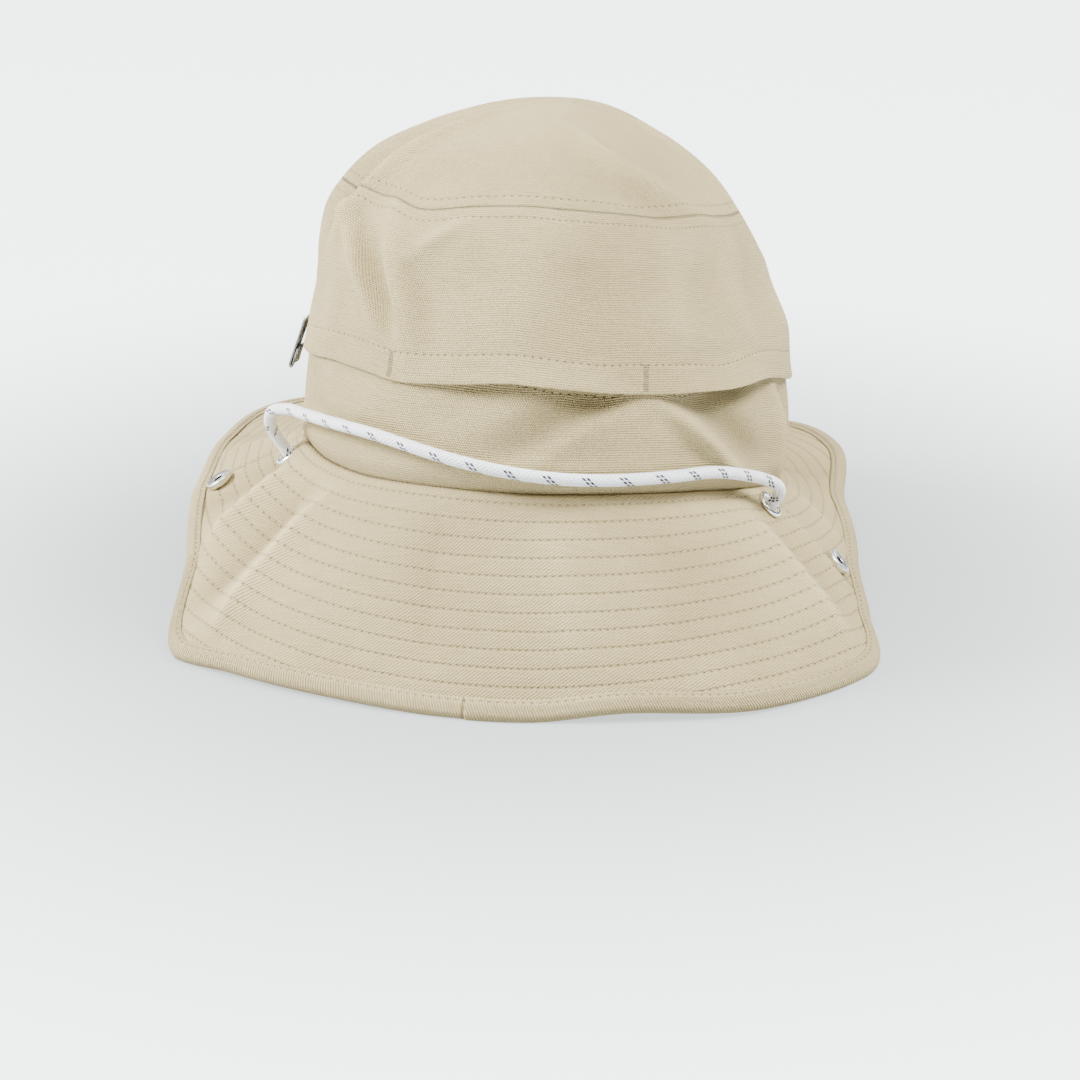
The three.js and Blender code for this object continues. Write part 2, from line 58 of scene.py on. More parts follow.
def aim_at(thing, place, target):
    """Puts a camera or lamp at a place, its own -Z turned toward the target."""
    place, target = on_table(place), on_table(target)
    thing.location = place
    thing.rotation_euler = Vector(target - place).to_track_quat("-Z", "Y").to_euler()
    bpy.context.scene.collection.objects.link(thing)


EYE_ANGLES, EYE_DISTANCE = (187.5, 18.5), 1060
eye = bpy.data.objects.new("eye", bpy.data.cameras.new("eye"))
eye.data.lens = 97.5
eye.data.shift_x = -0.0028
aim_at(eye, np.array([0, 0, 47]) + EYE_DISTANCE * toward(*EYE_ANGLES), (0, 0, 13))
bpy.context.scene.camera = eye


# --- The crown's form -------------------------------------------------------------------
# The crown is three pieces of ribbed cotton sewn to one another in one tall oval dome: a
# lower band, an upper band whose hem hangs free as a flap, and a domed tip.
# It leans forward and to its right, and keeps soft folds from being worn and packed.
HALF_WIDTH, HALF_LENGTH, CROWN_HEIGHT = 86.0, 98.0, 127.3
SEAM_LIFT, LEAN_FORWARD, LEAN_RIGHT = 47.0, np.radians(10.5), np.radians(4.0)
CLOTH, SEAM_GAP, OVERLAP = 1.6, 0.3, 11.0
CROWN_ROWS = np.array([  # height, left, right, back, front
    (0.00, 1.00, 1.00, 1.00, 1.00), (0.15, 1.01, 1.01, 1.01, 1.01),
    (0.31, 1.00, 0.97, 0.99, 0.99), (0.42, 0.99, 0.935, 0.97, 0.97),
    (0.53, 1.015, 0.86, 0.94, 0.95), (0.63, 1.00, 0.81, 0.90, 0.92),
    (0.73, 0.94, 0.72, 0.825, 0.86), (0.82, 0.85, 0.615, 0.725, 0.775),
    (0.90, 0.64, 0.455, 0.57, 0.63), (0.955, 0.42, 0.28, 0.39, 0.45),
    (1.00, 0.00, 0.00, 0.00, 0.00)])
SEAM_ROWS = np.array([  # azimuth, brim seam, hem, tip seam, as shares of the height
    (-180, 0.000, 0.314, 0.730), (-120, 0.000, 0.314, 0.730), (-92, 0.000, 0.291, 0.730),
    (-62, 0.016, 0.322, 0.730), (-45, 0.024, 0.302, 0.730), (-28, 0.020, 0.287, 0.730),
    (0, 0.000, 0.290, 0.730), (15, -0.008, 0.268, 0.715), (29, -0.016, 0.253, 0.691),
    (38, -0.020, 0.262, 0.707), (50, -0.016, 0.267, 0.715), (70, 0.000, 0.253, 0.730),
    (90, 0.000, 0.253, 0.730), (130, 0.000, 0.314, 0.730)])
FOLD_ROWS = np.array([  # azimuth, turn, spread, low, high, out
    (48, 34, 3.4, 0.46, 1.04, 0.050), (61, 32, 8.5, 0.46, 1.03, -0.062),
    (46, -25, 2.8, 0.33, 0.73, 0.042), (40.5, -21, 3.6, 0.34, 0.72, -0.046),
    (32, -14, 3.0, 0.27, 0.75, 0.044), (56, -8, 4, 0.28, 0.56, 0.022),
    (51, -14, 4, 0.27, 0.52, -0.020), (22.5, 16, 2.8, 0.55, 0.70, 0.022),
    (24, -6, 5, 0.28, 0.60, -0.030), (12, 10, 8, 0.45, 0.72, -0.016),
    (2, 8, 8, 0.30, 0.60, 0.008), (-8, 4, 14, 0.32, 0.62, -0.012),
    (-33, -59, 6, 0.69, 0.96, 0.034), (-22, -52, 8, 0.68, 0.93, -0.022),
    (-76, -22, 3.4, 0.62, 1.04, 0.028), (-89, -20, 7, 0.60, 1.03, -0.040),
    (-50, 8, 8, 0.42, 0.74, -0.020), (-38, 6, 5, 0.38, 0.64, 0.012),
    (-28, 10, 8, 0.36, 0.66, -0.012), (-71, 6, 6, 0.36, 0.70, -0.022),
    (-60, -6, 5, 0.36, 0.66, 0.014), (-46, -30, 3.6, 0.02, 0.28, 0.050),
    (-56, -24, 6, 0.03, 0.30, -0.050), (-73, -2, 2.8, 0.02, 0.31, 0.055),
    (-80, -2, 4, 0.03, 0.30, -0.026), (-15, 30, 5, 0.04, 0.30, 0.020),
    (-7, 18, 6, 0.06, 0.30, -0.024), (6, 24, 7, 0.06, 0.28, 0.010),
    (38, 20, 9, 0.05, 0.27, 0.012), (62, -10, 7, 0.04, 0.27, -0.016),
    (150, 8, 14, 0.40, 0.95, -0.035), (172, -6, 12, 0.45, 0.92, 0.025),
    (-160, 8, 12, 0.40, 0.95, -0.030), (-128, 10, 9, 0.35, 0.85, 0.020),
    (130, -12, 8, 0.34, 0.80, 0.022), (112, 6, 8, 0.03, 0.30, 0.018)])
DENT_ROWS = np.array([  # azimuth, share of the height, spreads of each, out
    (84, 0.84, 16, 0.11, -0.030), (-98, 0.86, 16, 0.10, -0.022), (-94, 0.52, 18, 0.14, 0.024),
    (26, 0.80, 10, 0.04, -0.016), (12, 0.88, 24, 0.05, 0.010), (70, 0.45, 9, 0.10, -0.012)])


def through(places, values, x, period=0.0):
    """A smooth curve through rows that never overshoots: a cubic between each two rows,
    whose slope at a row is the harmonic mean of the slopes beside it, or 0 at a turn."""
    places, values = np.asarray(places, float), np.asarray(values, float)
    x = np.asarray(x, float)
    if period:
        x = places[0] + np.mod(x - places[0], period)
        places = np.concatenate([places[-2:] - period, places, places[:2] + period])
        values = np.concatenate([values[-2:], values, values[:2]])
    rate = np.diff(values) / np.diff(places)
    before, after = np.r_[rate[:1], rate], np.r_[rate, rate[-1:]]
    both = before * after
    slope = np.where(both > 0, 2 * both / np.where(both > 0, before + after, 1), 0)
    k = np.clip(np.searchsorted(places, x, side="right") - 1, 0, len(places) - 2)
    span = places[k + 1] - places[k]
    u = np.clip((x - places[k]) / span, 0, 1)
    return ((2 * u**3 - 3 * u**2 + 1) * values[k] + (u**3 - 2 * u**2 + u) * span * slope[k]
            + (3 * u**2 - 2 * u**3) * values[k + 1] + (u**3 - u**2) * span * slope[k + 1])


def ease(low, high, x):
    """0 below low, 1 above high, and 3u^2 - 2u^3 between them."""
    u = np.clip((np.asarray(x, float) - low) / (high - low), 0, 1)
    return u * u * (3 - 2 * u)


def unit(arrows):
    """Arrows scaled to length 1."""
    return arrows / np.maximum(np.linalg.norm(arrows, axis=-1, keepdims=True), 1e-12)


def lean(points):
    """From the crown's own frame to the table: turned about X, then about Y, and lifted."""
    x, y, z = np.moveaxis(np.asarray(points, float), -1, 0)
    y, z = y * np.cos(LEAN_FORWARD) - z * np.sin(LEAN_FORWARD), \
        y * np.sin(LEAN_FORWARD) + z * np.cos(LEAN_FORWARD)
    x, z = x * np.cos(LEAN_RIGHT) - z * np.sin(LEAN_RIGHT), \
        x * np.sin(LEAN_RIGHT) + z * np.cos(LEAN_RIGHT)
    return np.stack([x, y, z + SEAM_LIFT], -1)


def folds_out(azimuth, share):
    """Sum of ridges: out * sin(pi * up) * exp(-(offset / spread)^2), each leaning by its
    turn, in millimetres."""
    azimuth, share = azimuth[..., None], share[..., None]
    centre, turn, width, low, high, out = FOLD_ROWS.T
    up = np.clip((share - low) / (high - low), 0, 1)
    offset = np.mod(azimuth - centre - turn * (0.5 - up) + 180, 360) - 180
    return (out * np.sin(np.pi * up) * np.exp(-((offset / width) ** 2))).sum(-1) * HALF_WIDTH


def dents_out(azimuth, share):
    """Sum of soft dents and swellings: out * exp(-(offset / spread)^2 - (rise / spread)^2),
    in millimetres."""
    centre, level, width, tall, out = DENT_ROWS.T
    offset = np.mod(azimuth[..., None] - centre + 180, 360) - 180
    rise = share[..., None] - level
    return (out * np.exp(-((offset / width) ** 2) - (rise / tall) ** 2)).sum(-1) * HALF_WIDTH


def folded_out(azimuth, share):
    """How far the folds and the dents together stand out, in millimetres."""
    return folds_out(azimuth, share) + dents_out(azimuth, share)


def crown_at(azimuth, height, set_out=0.0):
    """A point of the crown: an ellipse at each height, its half sizes read from the rows
    against the square root of the fall from the top, plus folds along the wall's normal."""
    azimuth, height = np.broadcast_arrays(np.asarray(azimuth, float), np.asarray(height, float))
    share = np.minimum(height / CROWN_HEIGHT, 1)
    fall = np.sqrt(1 - share)
    order = np.sqrt(1 - CROWN_ROWS[::-1, 0])
    left, right, back, front = (through(order, CROWN_ROWS[::-1, k], fall) for k in (1, 2, 3, 4))
    angle = np.radians(azimuth)
    side = np.where(np.sin(angle) > 0, left, right) * HALF_WIDTH
    end = np.where(np.cos(angle) > 0, back, front) * HALF_LENGTH
    point = np.stack([side * np.sin(angle), end * np.cos(angle), share * CROWN_HEIGHT], -1)
    shoulder = 0.47 * CROWN_HEIGHT
    rise = np.maximum(point[..., 2] - shoulder, 0) / (CROWN_HEIGHT - shoulder) ** 2
    normal = unit(np.stack([np.sin(angle) * side / HALF_WIDTH**2,
                            np.cos(angle) * end / HALF_LENGTH**2, rise], -1))
    out = set_out + folded_out(azimuth, share) * (1 - ease(0.93, 1.0, share))
    return point + normal * np.asarray(out)[..., None]


def seam_share(column, azimuth):
    """The height of a seam round the crown: 1 the brim's, 2 the hem, 3 the tip's."""
    return through(SEAM_ROWS[:, 0], SEAM_ROWS[:, column], azimuth, 360) * CROWN_HEIGHT


# --- The lower band ---------------------------------------------------------------------
# A plain band of ribbed cotton, sewn to the brim below and lost under the flap above.
# One row of stitching shows in the shade of the flap, at the back.
SAND_DARK, SAND_LIGHT = (0.265, 0.206, 0.092, 1), (0.49, 0.395, 0.196, 1)
AROUND = np.linspace(-180, 180, 421)
HEM_ROWS = np.array([  # azimuth, how far the hem stands off, as a share of the overlap
    (-180, 0.05), (-75, 0.05), (-50, 0.54), (-39, 0.24), (-29, 0.0), (-17, 0.34), (0, 0.14),
    (30, 0.0), (90, 0.05)])


class Spread:
    """A number that varies over a surface. Arithmetic on it adds maths nodes."""

    def __init__(self, finish, socket):
        self.finish, self.socket = finish, socket

    def maths(self, operation, *others):
        values = {0: self, **dict(enumerate(others, 1))}
        return self.finish.add("Math", {"operation": operation}, values)

    def __add__(self, other):
        return self.maths("ADD", other)

    def __sub__(self, other):
        return self.maths("SUBTRACT", other)

    def __mul__(self, other):
        return self.maths("MULTIPLY", other)

    def __truediv__(self, other):
        return self.maths("DIVIDE", other)

    def __rsub__(self, other):
        return self.finish.add("Math", {"operation": "SUBTRACT"}, {0: other, 1: self})

    __radd__, __rmul__ = __add__, __mul__

    def wave(self, turns):
        """A cosine hump from 0 to 1, that many times for each unit."""
        return (self * (2 * np.pi * turns)).maths("COSINE") * 0.5 + 0.5

    def from_nearest(self, step):
        """How far this is from the nearest multiple of a step, with its sign."""
        return ((self / step + 0.5).maths("FRACT") - 0.5) * step

    def within(self, half, soft):
        """1 nearer to 0 than half, easing to 0 over a soft edge."""
        return self.finish.add("MapRange", {"interpolation_type": "SMOOTHSTEP"}, {
            "Value": self.maths("ABSOLUTE"), "From Min": half, "From Max": half + soft,
            "To Min": 1.0, "To Max": 0.0})

    def above(self, edge, soft):
        """0 below an edge, easing to 1 over a soft stretch above it."""
        return self.finish.add("MapRange", {"interpolation_type": "SMOOTHSTEP"}, {
            "Value": self, "From Min": edge, "From Max": edge + soft, "To Min": 0.0, "To Max": 1.0})


class Finish:
    """A piece's material, built from nodes that feed one Principled shader."""

    def __init__(self, name, **constants):
        self.material = bpy.data.materials.new(name)
        self.material.use_nodes = True
        self.tree = self.material.node_tree
        self.shader = self.tree.nodes["Principled BSDF"]
        for socket, value in constants.items():
            self.shader.inputs[socket.replace("_", " ")].default_value = value

    def add(self, kind, settings=None, sockets=None, out=0):
        node = self.tree.nodes.new("ShaderNode" + kind)
        for setting, value in (settings or {}).items():
            setattr(node, setting, value)
        for name, value in (sockets or {}).items():
            self.plug(node.inputs[name], value)
        return Spread(self, node.outputs[out])

    def plug(self, socket, value):
        if isinstance(value, Spread):
            self.tree.links.new(value.socket, socket)
        else:
            socket.default_value = value

    def layout(self, uv_map):
        """A UV map's two lengths, in millimetres."""
        split = self.add("SeparateXYZ", None, {0: self.add("UVMap", {"uv_map": uv_map})})
        return split, Spread(self, split.socket.node.outputs[1])

    def noise(self, x, y, scale, detail=2.0, seed=0.0):
        """Soft noise from 0 to 1 over two lengths."""
        place = self.add("CombineXYZ", None, {0: x, 1: y, 2: seed})
        return self.add("TexNoise", None, {"Vector": place, "Scale": scale, "Detail": detail})

    def blend(self, share, first, second):
        """One colour turning to another by a share from 0 to 1."""
        return self.add("Mix", {"data_type": "RGBA"}, {0: share, 6: first, 7: second}, out=2)

    def wear(self, colour=None, roughness=None, height=None, relief=0.0002):
        """Feeds the shader its colour and roughness, and a height in units of relief metres."""
        if colour is not None:
            self.plug(self.shader.inputs["Base Color"], colour)
        if roughness is not None:
            self.plug(self.shader.inputs["Roughness"], roughness)
        if height is not None:
            bump = self.add("Bump", None, {"Height": height, "Distance": relief, "Strength": 1.0})
            self.plug(self.shader.inputs["Normal"], bump)
        return self.material


def stitches(across, along, pitch=2.8, half=0.24, groove=0.7):
    """A sewn row: (height, needle-hole mask, groove mask) from the distances across and along it.
    The needle-hole mask also darkens the cloth at each needle-hole, and the groove mask darkens it
    a little: painted shade.
    """
    step = along.from_nearest(pitch)
    thread = across.within(half, 0.16) * step.within(pitch * 0.36, pitch * 0.08)
    holes_and_shade = across.within(0.12, 0.3) * (1 - step.within(pitch * 0.3, pitch * 0.08))
    sunk = across.within(0.05, groove)
    return thread * 0.5 - sunk * 0.6 - holes_and_shade * 0.8, holes_and_shade, sunk


def into_piece(name, mesh, material, merge=True, caps=False):
    """A finished object from a mesh: open ends closed where it has caps, double corners
    merged, faces turned outwards, shaded smooth, on the hat's one body."""
    shell = bmesh.new()
    shell.from_mesh(mesh)
    if caps:
        bmesh.ops.holes_fill(shell, edges=[e for e in shell.edges if e.is_boundary])
    if merge:
        bmesh.ops.remove_doubles(shell, verts=shell.verts, dist=2e-6)
    bmesh.ops.recalc_face_normals(shell, faces=shell.faces)
    shell.to_mesh(mesh)
    shell.free()
    mesh.polygons.foreach_set("use_smooth", np.full(len(mesh.polygons), True))
    mesh.materials.append(material)
    piece = bpy.data.objects.new(name, mesh)
    bpy.context.scene.collection.objects.link(piece)
    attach(piece, "root")
    return piece


def piece_of(name, points, uv_maps, material, round_about=True, caps=False):
    """A mesh from a grid of points (columns, rows, 3), closed across its rows and, where it
    goes round, across its columns. Each UV map has one more column than the points."""
    columns, rows = points.shape[:2]
    vertex = np.arange(columns * rows).reshape(columns, rows)
    last = columns if round_about else columns - 1
    a, b = np.meshgrid(np.arange(last), np.arange(rows), indexing="ij")
    corners = [(a, b), (a + 1, b), (a + 1, b + 1), (a, b + 1)]
    quads = np.stack([vertex[i % columns, j % rows] for i, j in corners], -1).reshape(-1, 4)
    mesh = bpy.data.meshes.new(name)
    mesh.from_pydata(on_table(points.reshape(-1, 3)), [], quads.tolist())
    for uv_name, flat in uv_maps.items():
        flat = np.concatenate([flat, flat[:, :1]], axis=1)
        loops = np.stack([flat[i, j] for i, j in corners], 2).reshape(-1, 2)
        mesh.uv_layers.new(name=uv_name).data.foreach_set("uv", loops.astype(np.float32).ravel())
    return into_piece(name, mesh, material, caps=caps)


def fold_shade_layout(azimuth, height, extra=0.0):
    """How far the folds stand out at each place, in millimetres, as a UV layout that the
    cloth's colour reads to paint shade: paler on crests, darker in hollows.
    """
    azimuth, height = np.broadcast_arrays(np.asarray(azimuth, float), np.asarray(height, float))
    share = np.minimum(height / CROWN_HEIGHT, 1)
    return np.stack([folded_out(azimuth, share) + extra, share], -1)


def run_round(points):
    """Arc lengths along a grid's columns, from its first column, one for each row."""
    steps = np.linalg.norm(np.diff(points, axis=0), axis=-1)
    return np.vstack([np.zeros(points.shape[1]), np.cumsum(steps, axis=0)])


def run_up(points):
    """Arc lengths along a grid's rows, from its first row, one for each column."""
    steps = np.linalg.norm(np.diff(points, axis=1), axis=-1)
    return np.hstack([np.zeros((len(points), 1)), np.cumsum(steps, axis=1)])


def folded_edge(outer, inner):
    """The half round of cloth between two faces' first rows: mid + r (cos t, sin t)."""
    middle, radius = (outer[:, :1] + inner[:, :1]) / 2, (outer[:, :1] - inner[:, :1]) / 2
    ahead = unit(outer[:, :1] - outer[:, 1:2]) * np.linalg.norm(radius, axis=-1, keepdims=True)
    t = np.radians([150, 120, 90, 60, 30])[None, :, None]
    return middle + radius * np.cos(t) + ahead * np.sin(t)


def cloth_shell(outer, inner, flats, fold_start=True):
    """One closed layer of cloth from its two faces and their flat layouts: the outer face,
    the inner face backwards and, where the cloth turns over at its first row, that fold."""
    parts = [outer, inner[:, ::-1]]
    layouts = {name: [flat, flat[:, ::-1]] for name, flat in flats.items()}
    if fold_start:
        parts.append(folded_edge(outer, inner))
        for name, flat in flats.items():
            layouts[name].append(np.repeat(flat[:, :1], parts[-1].shape[1], axis=1))
    points = np.concatenate(parts, axis=1)
    return points[:-1], {name: np.concatenate(flat, axis=1) for name, flat in layouts.items()}


def cotton(name, dark, light, weave, rows=None):
    """Undyed-looking cotton: a weave's relief, threads that differ in tone, soft fading
    over the whole piece, and sewn rows that sink into it. Its colour also holds painted
    shade: paler where the folds layout stands out, darker where it sinks, and darker at
    each needle-hole and a little in the grooves."""
    cloth = Finish(name, Roughness=0.86, Sheen_Weight=0.06, Sheen_Roughness=0.5)
    cloth.shader.inputs["Specular IOR Level"].default_value = 0.25
    across, up = cloth.layout("grain")
    relief = weave(cloth, across, up)
    slub = cloth.noise(across * 0.12, up * 1.3, 1.0, 2.0, 3.0)
    warp = cloth.noise(across * 1.3, up * 0.12, 1.0, 2.0, 7.0)
    fade = cloth.noise(across, up, 0.028, 3.0, 11.0)
    fold, _ = cloth.layout("folds")
    # Painted shade and highlight: fold * 0.045 makes the cloth paler where folds stand out and
    # darker in hollows and recesses.
    tone = relief * 0.5 + slub * 0.34 + warp * 0.2 + fade * 0.4 + fold * 0.045 - 0.2
    height = relief + slub * 0.5 + fade * 0.6
    colour = cloth.blend(tone.above(0.0, 1.0), dark, light)
    if rows is not None:
        sewn, holes_and_shade, sunk = rows(cloth)
        height = height * (1 - sunk * 0.4) + sewn
        # Painted shade: the needle-hole mask turns the colour half way to dark brown, and the
        # groove mask a little.
        colour = cloth.blend(sunk * 0.04 + holes_and_shade * 0.5, colour, (0.13, 0.088, 0.045, 1))
    cloth.wear(colour, None, height, 0.00042)
    return cloth.material


def rib_weave(cloth, across, up):
    """Fine ribs across the cloth every 0.8 mm, broken where the warp goes over them."""
    wander = cloth.noise(across, up, 0.25, 1.0, 5.0)
    ribs = (up + wander * 0.4).wave(1 / 0.8)
    pins = (across + (up / 0.8 + 0.5).maths("FLOOR") * 0.42).wave(1 / 0.84)
    return ribs * 0.5 + pins * 0.5


low = seam_share(1, AROUND) + SEAM_GAP / 2
high = seam_share(2, AROUND) + OVERLAP
heights = low[:, None] + (high - low)[:, None] * np.linspace(0, 1, 34)
above_seam = heights - low[:, None]
roll = 1.9 * np.exp(-(((above_seam - 6.5) / 4.5) ** 2)) - 1.2 * np.exp(-((above_seam / 2.2) ** 2))
roll = roll * (0.35 + 0.65 * (1 - ease(60, 110, np.abs(AROUND))))[:, None]
under_hem = ease(-11, -1.5, heights - seam_share(2, AROUND)[:, None])
for place, spread, depth in ((-53, 11, 6.4), (-15, 9, 3.2), (8, 10, 1.8)):
    roll = roll - depth * np.exp(-(((AROUND[:, None] - place) / spread) ** 2)) * under_hem
outer = lean(crown_at(AROUND[:, None], heights, roll))
inner = lean(crown_at(AROUND[:, None], heights, roll - CLOTH))
along, up = run_round(outer), run_up(outer)
arch = np.clip(through(HEM_ROWS[:, 0], HEM_ROWS[:, 1], AROUND, 360) / 0.25, 0, 1)
row_above = heights - (seam_share(2, AROUND) + 3.6 * (1 - arch))[:, None]
# The roll above the brim seam and the recesses under the hem go into the folds layout too, so the
# colour gets a painted highlight on the roll and painted shade in the tuck at the seam and under
# the flap.
points, flats = cloth_shell(outer, inner, {
    "grain": np.stack([along[:, :1] + 0 * up, up], -1),
    "rows": np.stack([along[:, -1:] + 0 * up, row_above], -1),
    "folds": fold_shade_layout(AROUND[:, None], heights, roll)})


def band_rows(cloth):
    """One row of stitching that shows 2.6 mm under the hem only where the flap arches out."""
    along, above = cloth.layout("rows")
    return stitches(above + 2.6, along)


lower_band = piece_of("lower_band_cloth", points, flats,
                      cotton("lower_band", SAND_DARK, SAND_LIGHT, rib_weave, band_rows))
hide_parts("crown_lower_band")


# --- The upper band ---------------------------------------------------------------------
# Ribbed cotton from the tip down to a turned hem. A row of stitching 9 mm above the hem
# holds it to the lower band; below the row it hangs free, tacked down at two places.
HEM_STITCH, TIP_STITCH, TACKS = 9.0, 4.0, (30.5, -28.5)


def flap_out(azimuth, above):
    """How far the upper band stands out of the crown's face, at a height above its hem."""
    over = np.clip(1 - above / OVERLAP, 0, 1)
    fade = ease(OVERLAP + 2, OVERLAP + 26, above)
    stand = through(HEM_ROWS[:, 0], HEM_ROWS[:, 1], azimuth, 360)
    return (CLOTH + SEAM_GAP) * (1 - fade) + stand * OVERLAP * over**2


low, high = seam_share(2, AROUND), seam_share(3, AROUND) - 0.05
heights = low[:, None] + (high - low)[:, None] * np.linspace(0, 1, 64)
stand = flap_out(AROUND[:, None], heights - low[:, None])
outer = lean(crown_at(AROUND[:, None], heights, stand))
inner = lean(crown_at(AROUND[:, None], heights, stand - CLOTH))
along, up = run_round(outer), run_up(outer)
from_tip = up - up[:, -1:]
points, flats = cloth_shell(outer, inner, {
    "grain": np.stack([along[:, :1] + 0 * up, up], -1),
    "rows": np.stack([along[:, :1] + 0 * up, up], -1),
    "tip": np.stack([AROUND[:, None] + 0 * up, from_tip], -1),
    "folds": fold_shade_layout(AROUND[:, None], heights)})


def flap_rows(cloth):
    """A row 9 mm above the hem, a row 4 mm under the tip seam, and two upright tacks."""
    along, above = cloth.layout("rows")
    azimuth, under = cloth.layout("tip")
    held, held_holes, held_sunk = stitches(above - HEM_STITCH, along)
    top, top_holes, top_sunk = stitches(under + TIP_STITCH, along)
    seam = under.within(0.0, 0.5)
    tacks = 0
    for place in TACKS:
        tacks = (azimuth - place).within(0.5, 0.25) * (above - 4.6).within(4.2, 0.5) + tacks
    zigzag = above.wave(1 / 0.7)
    height = held + top - seam * 0.8 + tacks * (zigzag * 1.4 - 0.9)
    # Painted shade: the tacks darken the colour, most between the zigzag's stitches.
    holes_and_shade = held_holes + top_holes + tacks * (0.75 - zigzag * 0.5)
    return height, holes_and_shade, held_sunk + top_sunk + seam


upper_band = piece_of("upper_band_cloth", points, flats,
                      cotton("upper_band", SAND_DARK, SAND_LIGHT, rib_weave, flap_rows))
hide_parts("crown_upper_band")


# --- The tip ----------------------------------------------------------------------------
# One domed oval piece of ribbed cotton on top. A seam joins it to the upper band, with a
# sewn row 4 mm above it that holds the seam's edges down.
low = seam_share(3, AROUND) + 0.05
fall = np.sqrt(1 - low / CROWN_HEIGHT)[:, None] * np.linspace(0, 1, 61) ** 0.9
heights = CROWN_HEIGHT * (1 - fall**2)
outer = lean(crown_at(AROUND[:, None], heights))
inner = lean(crown_at(AROUND[:, None], heights, -CLOTH))
outer[:, 0], inner[:, 0] = outer[:, 0].mean(0), outer[:, 0].mean(0) - (0, 0, CLOTH)
along, up = run_round(outer), run_up(outer)
azimuth = np.radians(AROUND)[:, None]
points, flats = cloth_shell(outer, inner, {
    "grain": np.stack([up * np.sin(azimuth), up * np.cos(azimuth)], -1),
    "rows": np.stack([along[:, -1:] + 0 * up, up[:, -1:] - up], -1),
    "folds": fold_shade_layout(AROUND[:, None], heights)}, fold_start=False)


def tip_rows(cloth):
    """A row 4 mm above the tip seam, and the seam's own sunk line."""
    along, above = cloth.layout("rows")
    top, holes_and_shade, sunk = stitches(above - TIP_STITCH, along)
    seam = above.within(0.0, 0.5)
    return top - seam * 0.8, holes_and_shade, sunk + seam


tip = piece_of("tip_cloth", points, flats,
               cotton("tip", SAND_DARK, SAND_LIGHT, rib_weave, tip_rows))
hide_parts("crown_tip")


# --- The brim ---------------------------------------------------------------------------
# Two layers of twill quilted together by twelve rows of stitching that follow the crown's
# seam. The back is cut long, to cover the neck, and joined to the front at both sides.
BRIM_WIDTH, BRIM_CLOTH = 77.0, 2.4
TAPE_CLOTH, TAPE_PRESS = 0.9, 0.5
EDGE_RADIUS = BRIM_CLOTH / 2 + SEAM_GAP + TAPE_CLOTH
SEAM_RADIUS, CUT_RADIUS = 92.0, 160.0  # of the seam on the hat, and of the seam as cut flat
FIRST_ROW, ROW_PITCH = 2.5, 6.1
RIM_ROWS = np.array([  # azimuth, out, swing, lift
    (-180, 0.76, 0, 0.00), (-165, 0.755, 0, 0.09), (-150, 0.74, 0, 0.38),
    (-125, 0.58, -2, 0.52), (-100, 0.35, -4, 0.40), (-80, 0.37, -6, 0.25),
    (-63, 0.51, -8, 0.07), (-51, 0.73, -6, 0.00), (-36, 0.70, -2, 0.02), (-18, 0.55, -1, 0.06),
    (-4, 0.51, -1, 0.00), (6, 0.51, -1, 0.00), (20, 0.54, 1, 0.02), (36, 0.66, 4, 0.03),
    (48, 0.78, 4, 0.00), (60, 0.57, 5, 0.44), (78, 0.53, 8, 0.63), (100, 0.62, 6, 0.67),
    (125, 0.76, 2, 0.63), (150, 0.76, 0, 0.42), (165, 0.76, 0, 0.10)])


def seam_at(azimuth, drop=0.0, inset=0.0):
    """The crown's foot on the table's frame, lower by a drop and inside by an inset."""
    point = crown_at(azimuth, 0 * np.asarray(azimuth, float), -inset)
    point[..., 2] = seam_share(1, azimuth) - drop
    return lean(point)


def soft_rim_at(azimuth):
    """The brim's soft edge: out of the seam along the oval's normal in plan, swung round the
    hat, and let down until the bound edge just presses on the table."""
    azimuth = np.asarray(azimuth, float)
    seam, angle = seam_at(azimuth), np.radians(azimuth)
    out, swing, lift = (through(RIM_ROWS[:, 0], RIM_ROWS[:, k], azimuth, 360) for k in (1, 2, 3))
    normal = unit(np.stack([np.sin(angle) / HALF_WIDTH, np.cos(angle) / HALF_LENGTH], -1))
    plan = seam[..., :2] + normal * (out * BRIM_WIDTH)[..., None]
    turn = -np.radians(swing)
    plan = np.stack([plan[..., 0] * np.cos(turn) - plan[..., 1] * np.sin(turn),
                     plan[..., 0] * np.sin(turn) + plan[..., 1] * np.cos(turn)], -1)
    low = lift * SEAM_LIFT - TAPE_PRESS
    slope = np.arctan2(seam[..., 2] - low, np.linalg.norm(plan - seam[..., :2], axis=-1))
    return np.concatenate([plan, (low + EDGE_RADIUS * (1 - np.sin(slope)))[..., None]], -1)


FACETS = ((46, 59.5, 0.3), (59.5, 74, 0.5), (-63, -50, 0.2), (-79, -63, 0.4))


def rim_at(azimuth):
    """The edge, drawn part of the way to a straight line where the brim is creased flat."""
    azimuth = np.asarray(azimuth, float)
    edge = soft_rim_at(azimuth)
    for start, end, flatness in FACETS:
        first, last = soft_rim_at(np.array([start, end], float))
        share = np.clip((azimuth - start) / (end - start), 0, 1)[..., None]
        straight = edge + (first + (last - first) * share - edge) * flatness
        edge = np.where((share > 0) & (share < 1), straight, edge)
    return edge


def brim_at(azimuth, share):
    """The brim's middle layer, straight from the seam to its edge."""
    azimuth, share = np.broadcast_arrays(np.asarray(azimuth, float), np.asarray(share, float))
    inner, outer = seam_at(azimuth, SEAM_GAP + BRIM_CLOTH / 2), rim_at(azimuth)
    return inner + (outer - inner) * share[..., None]


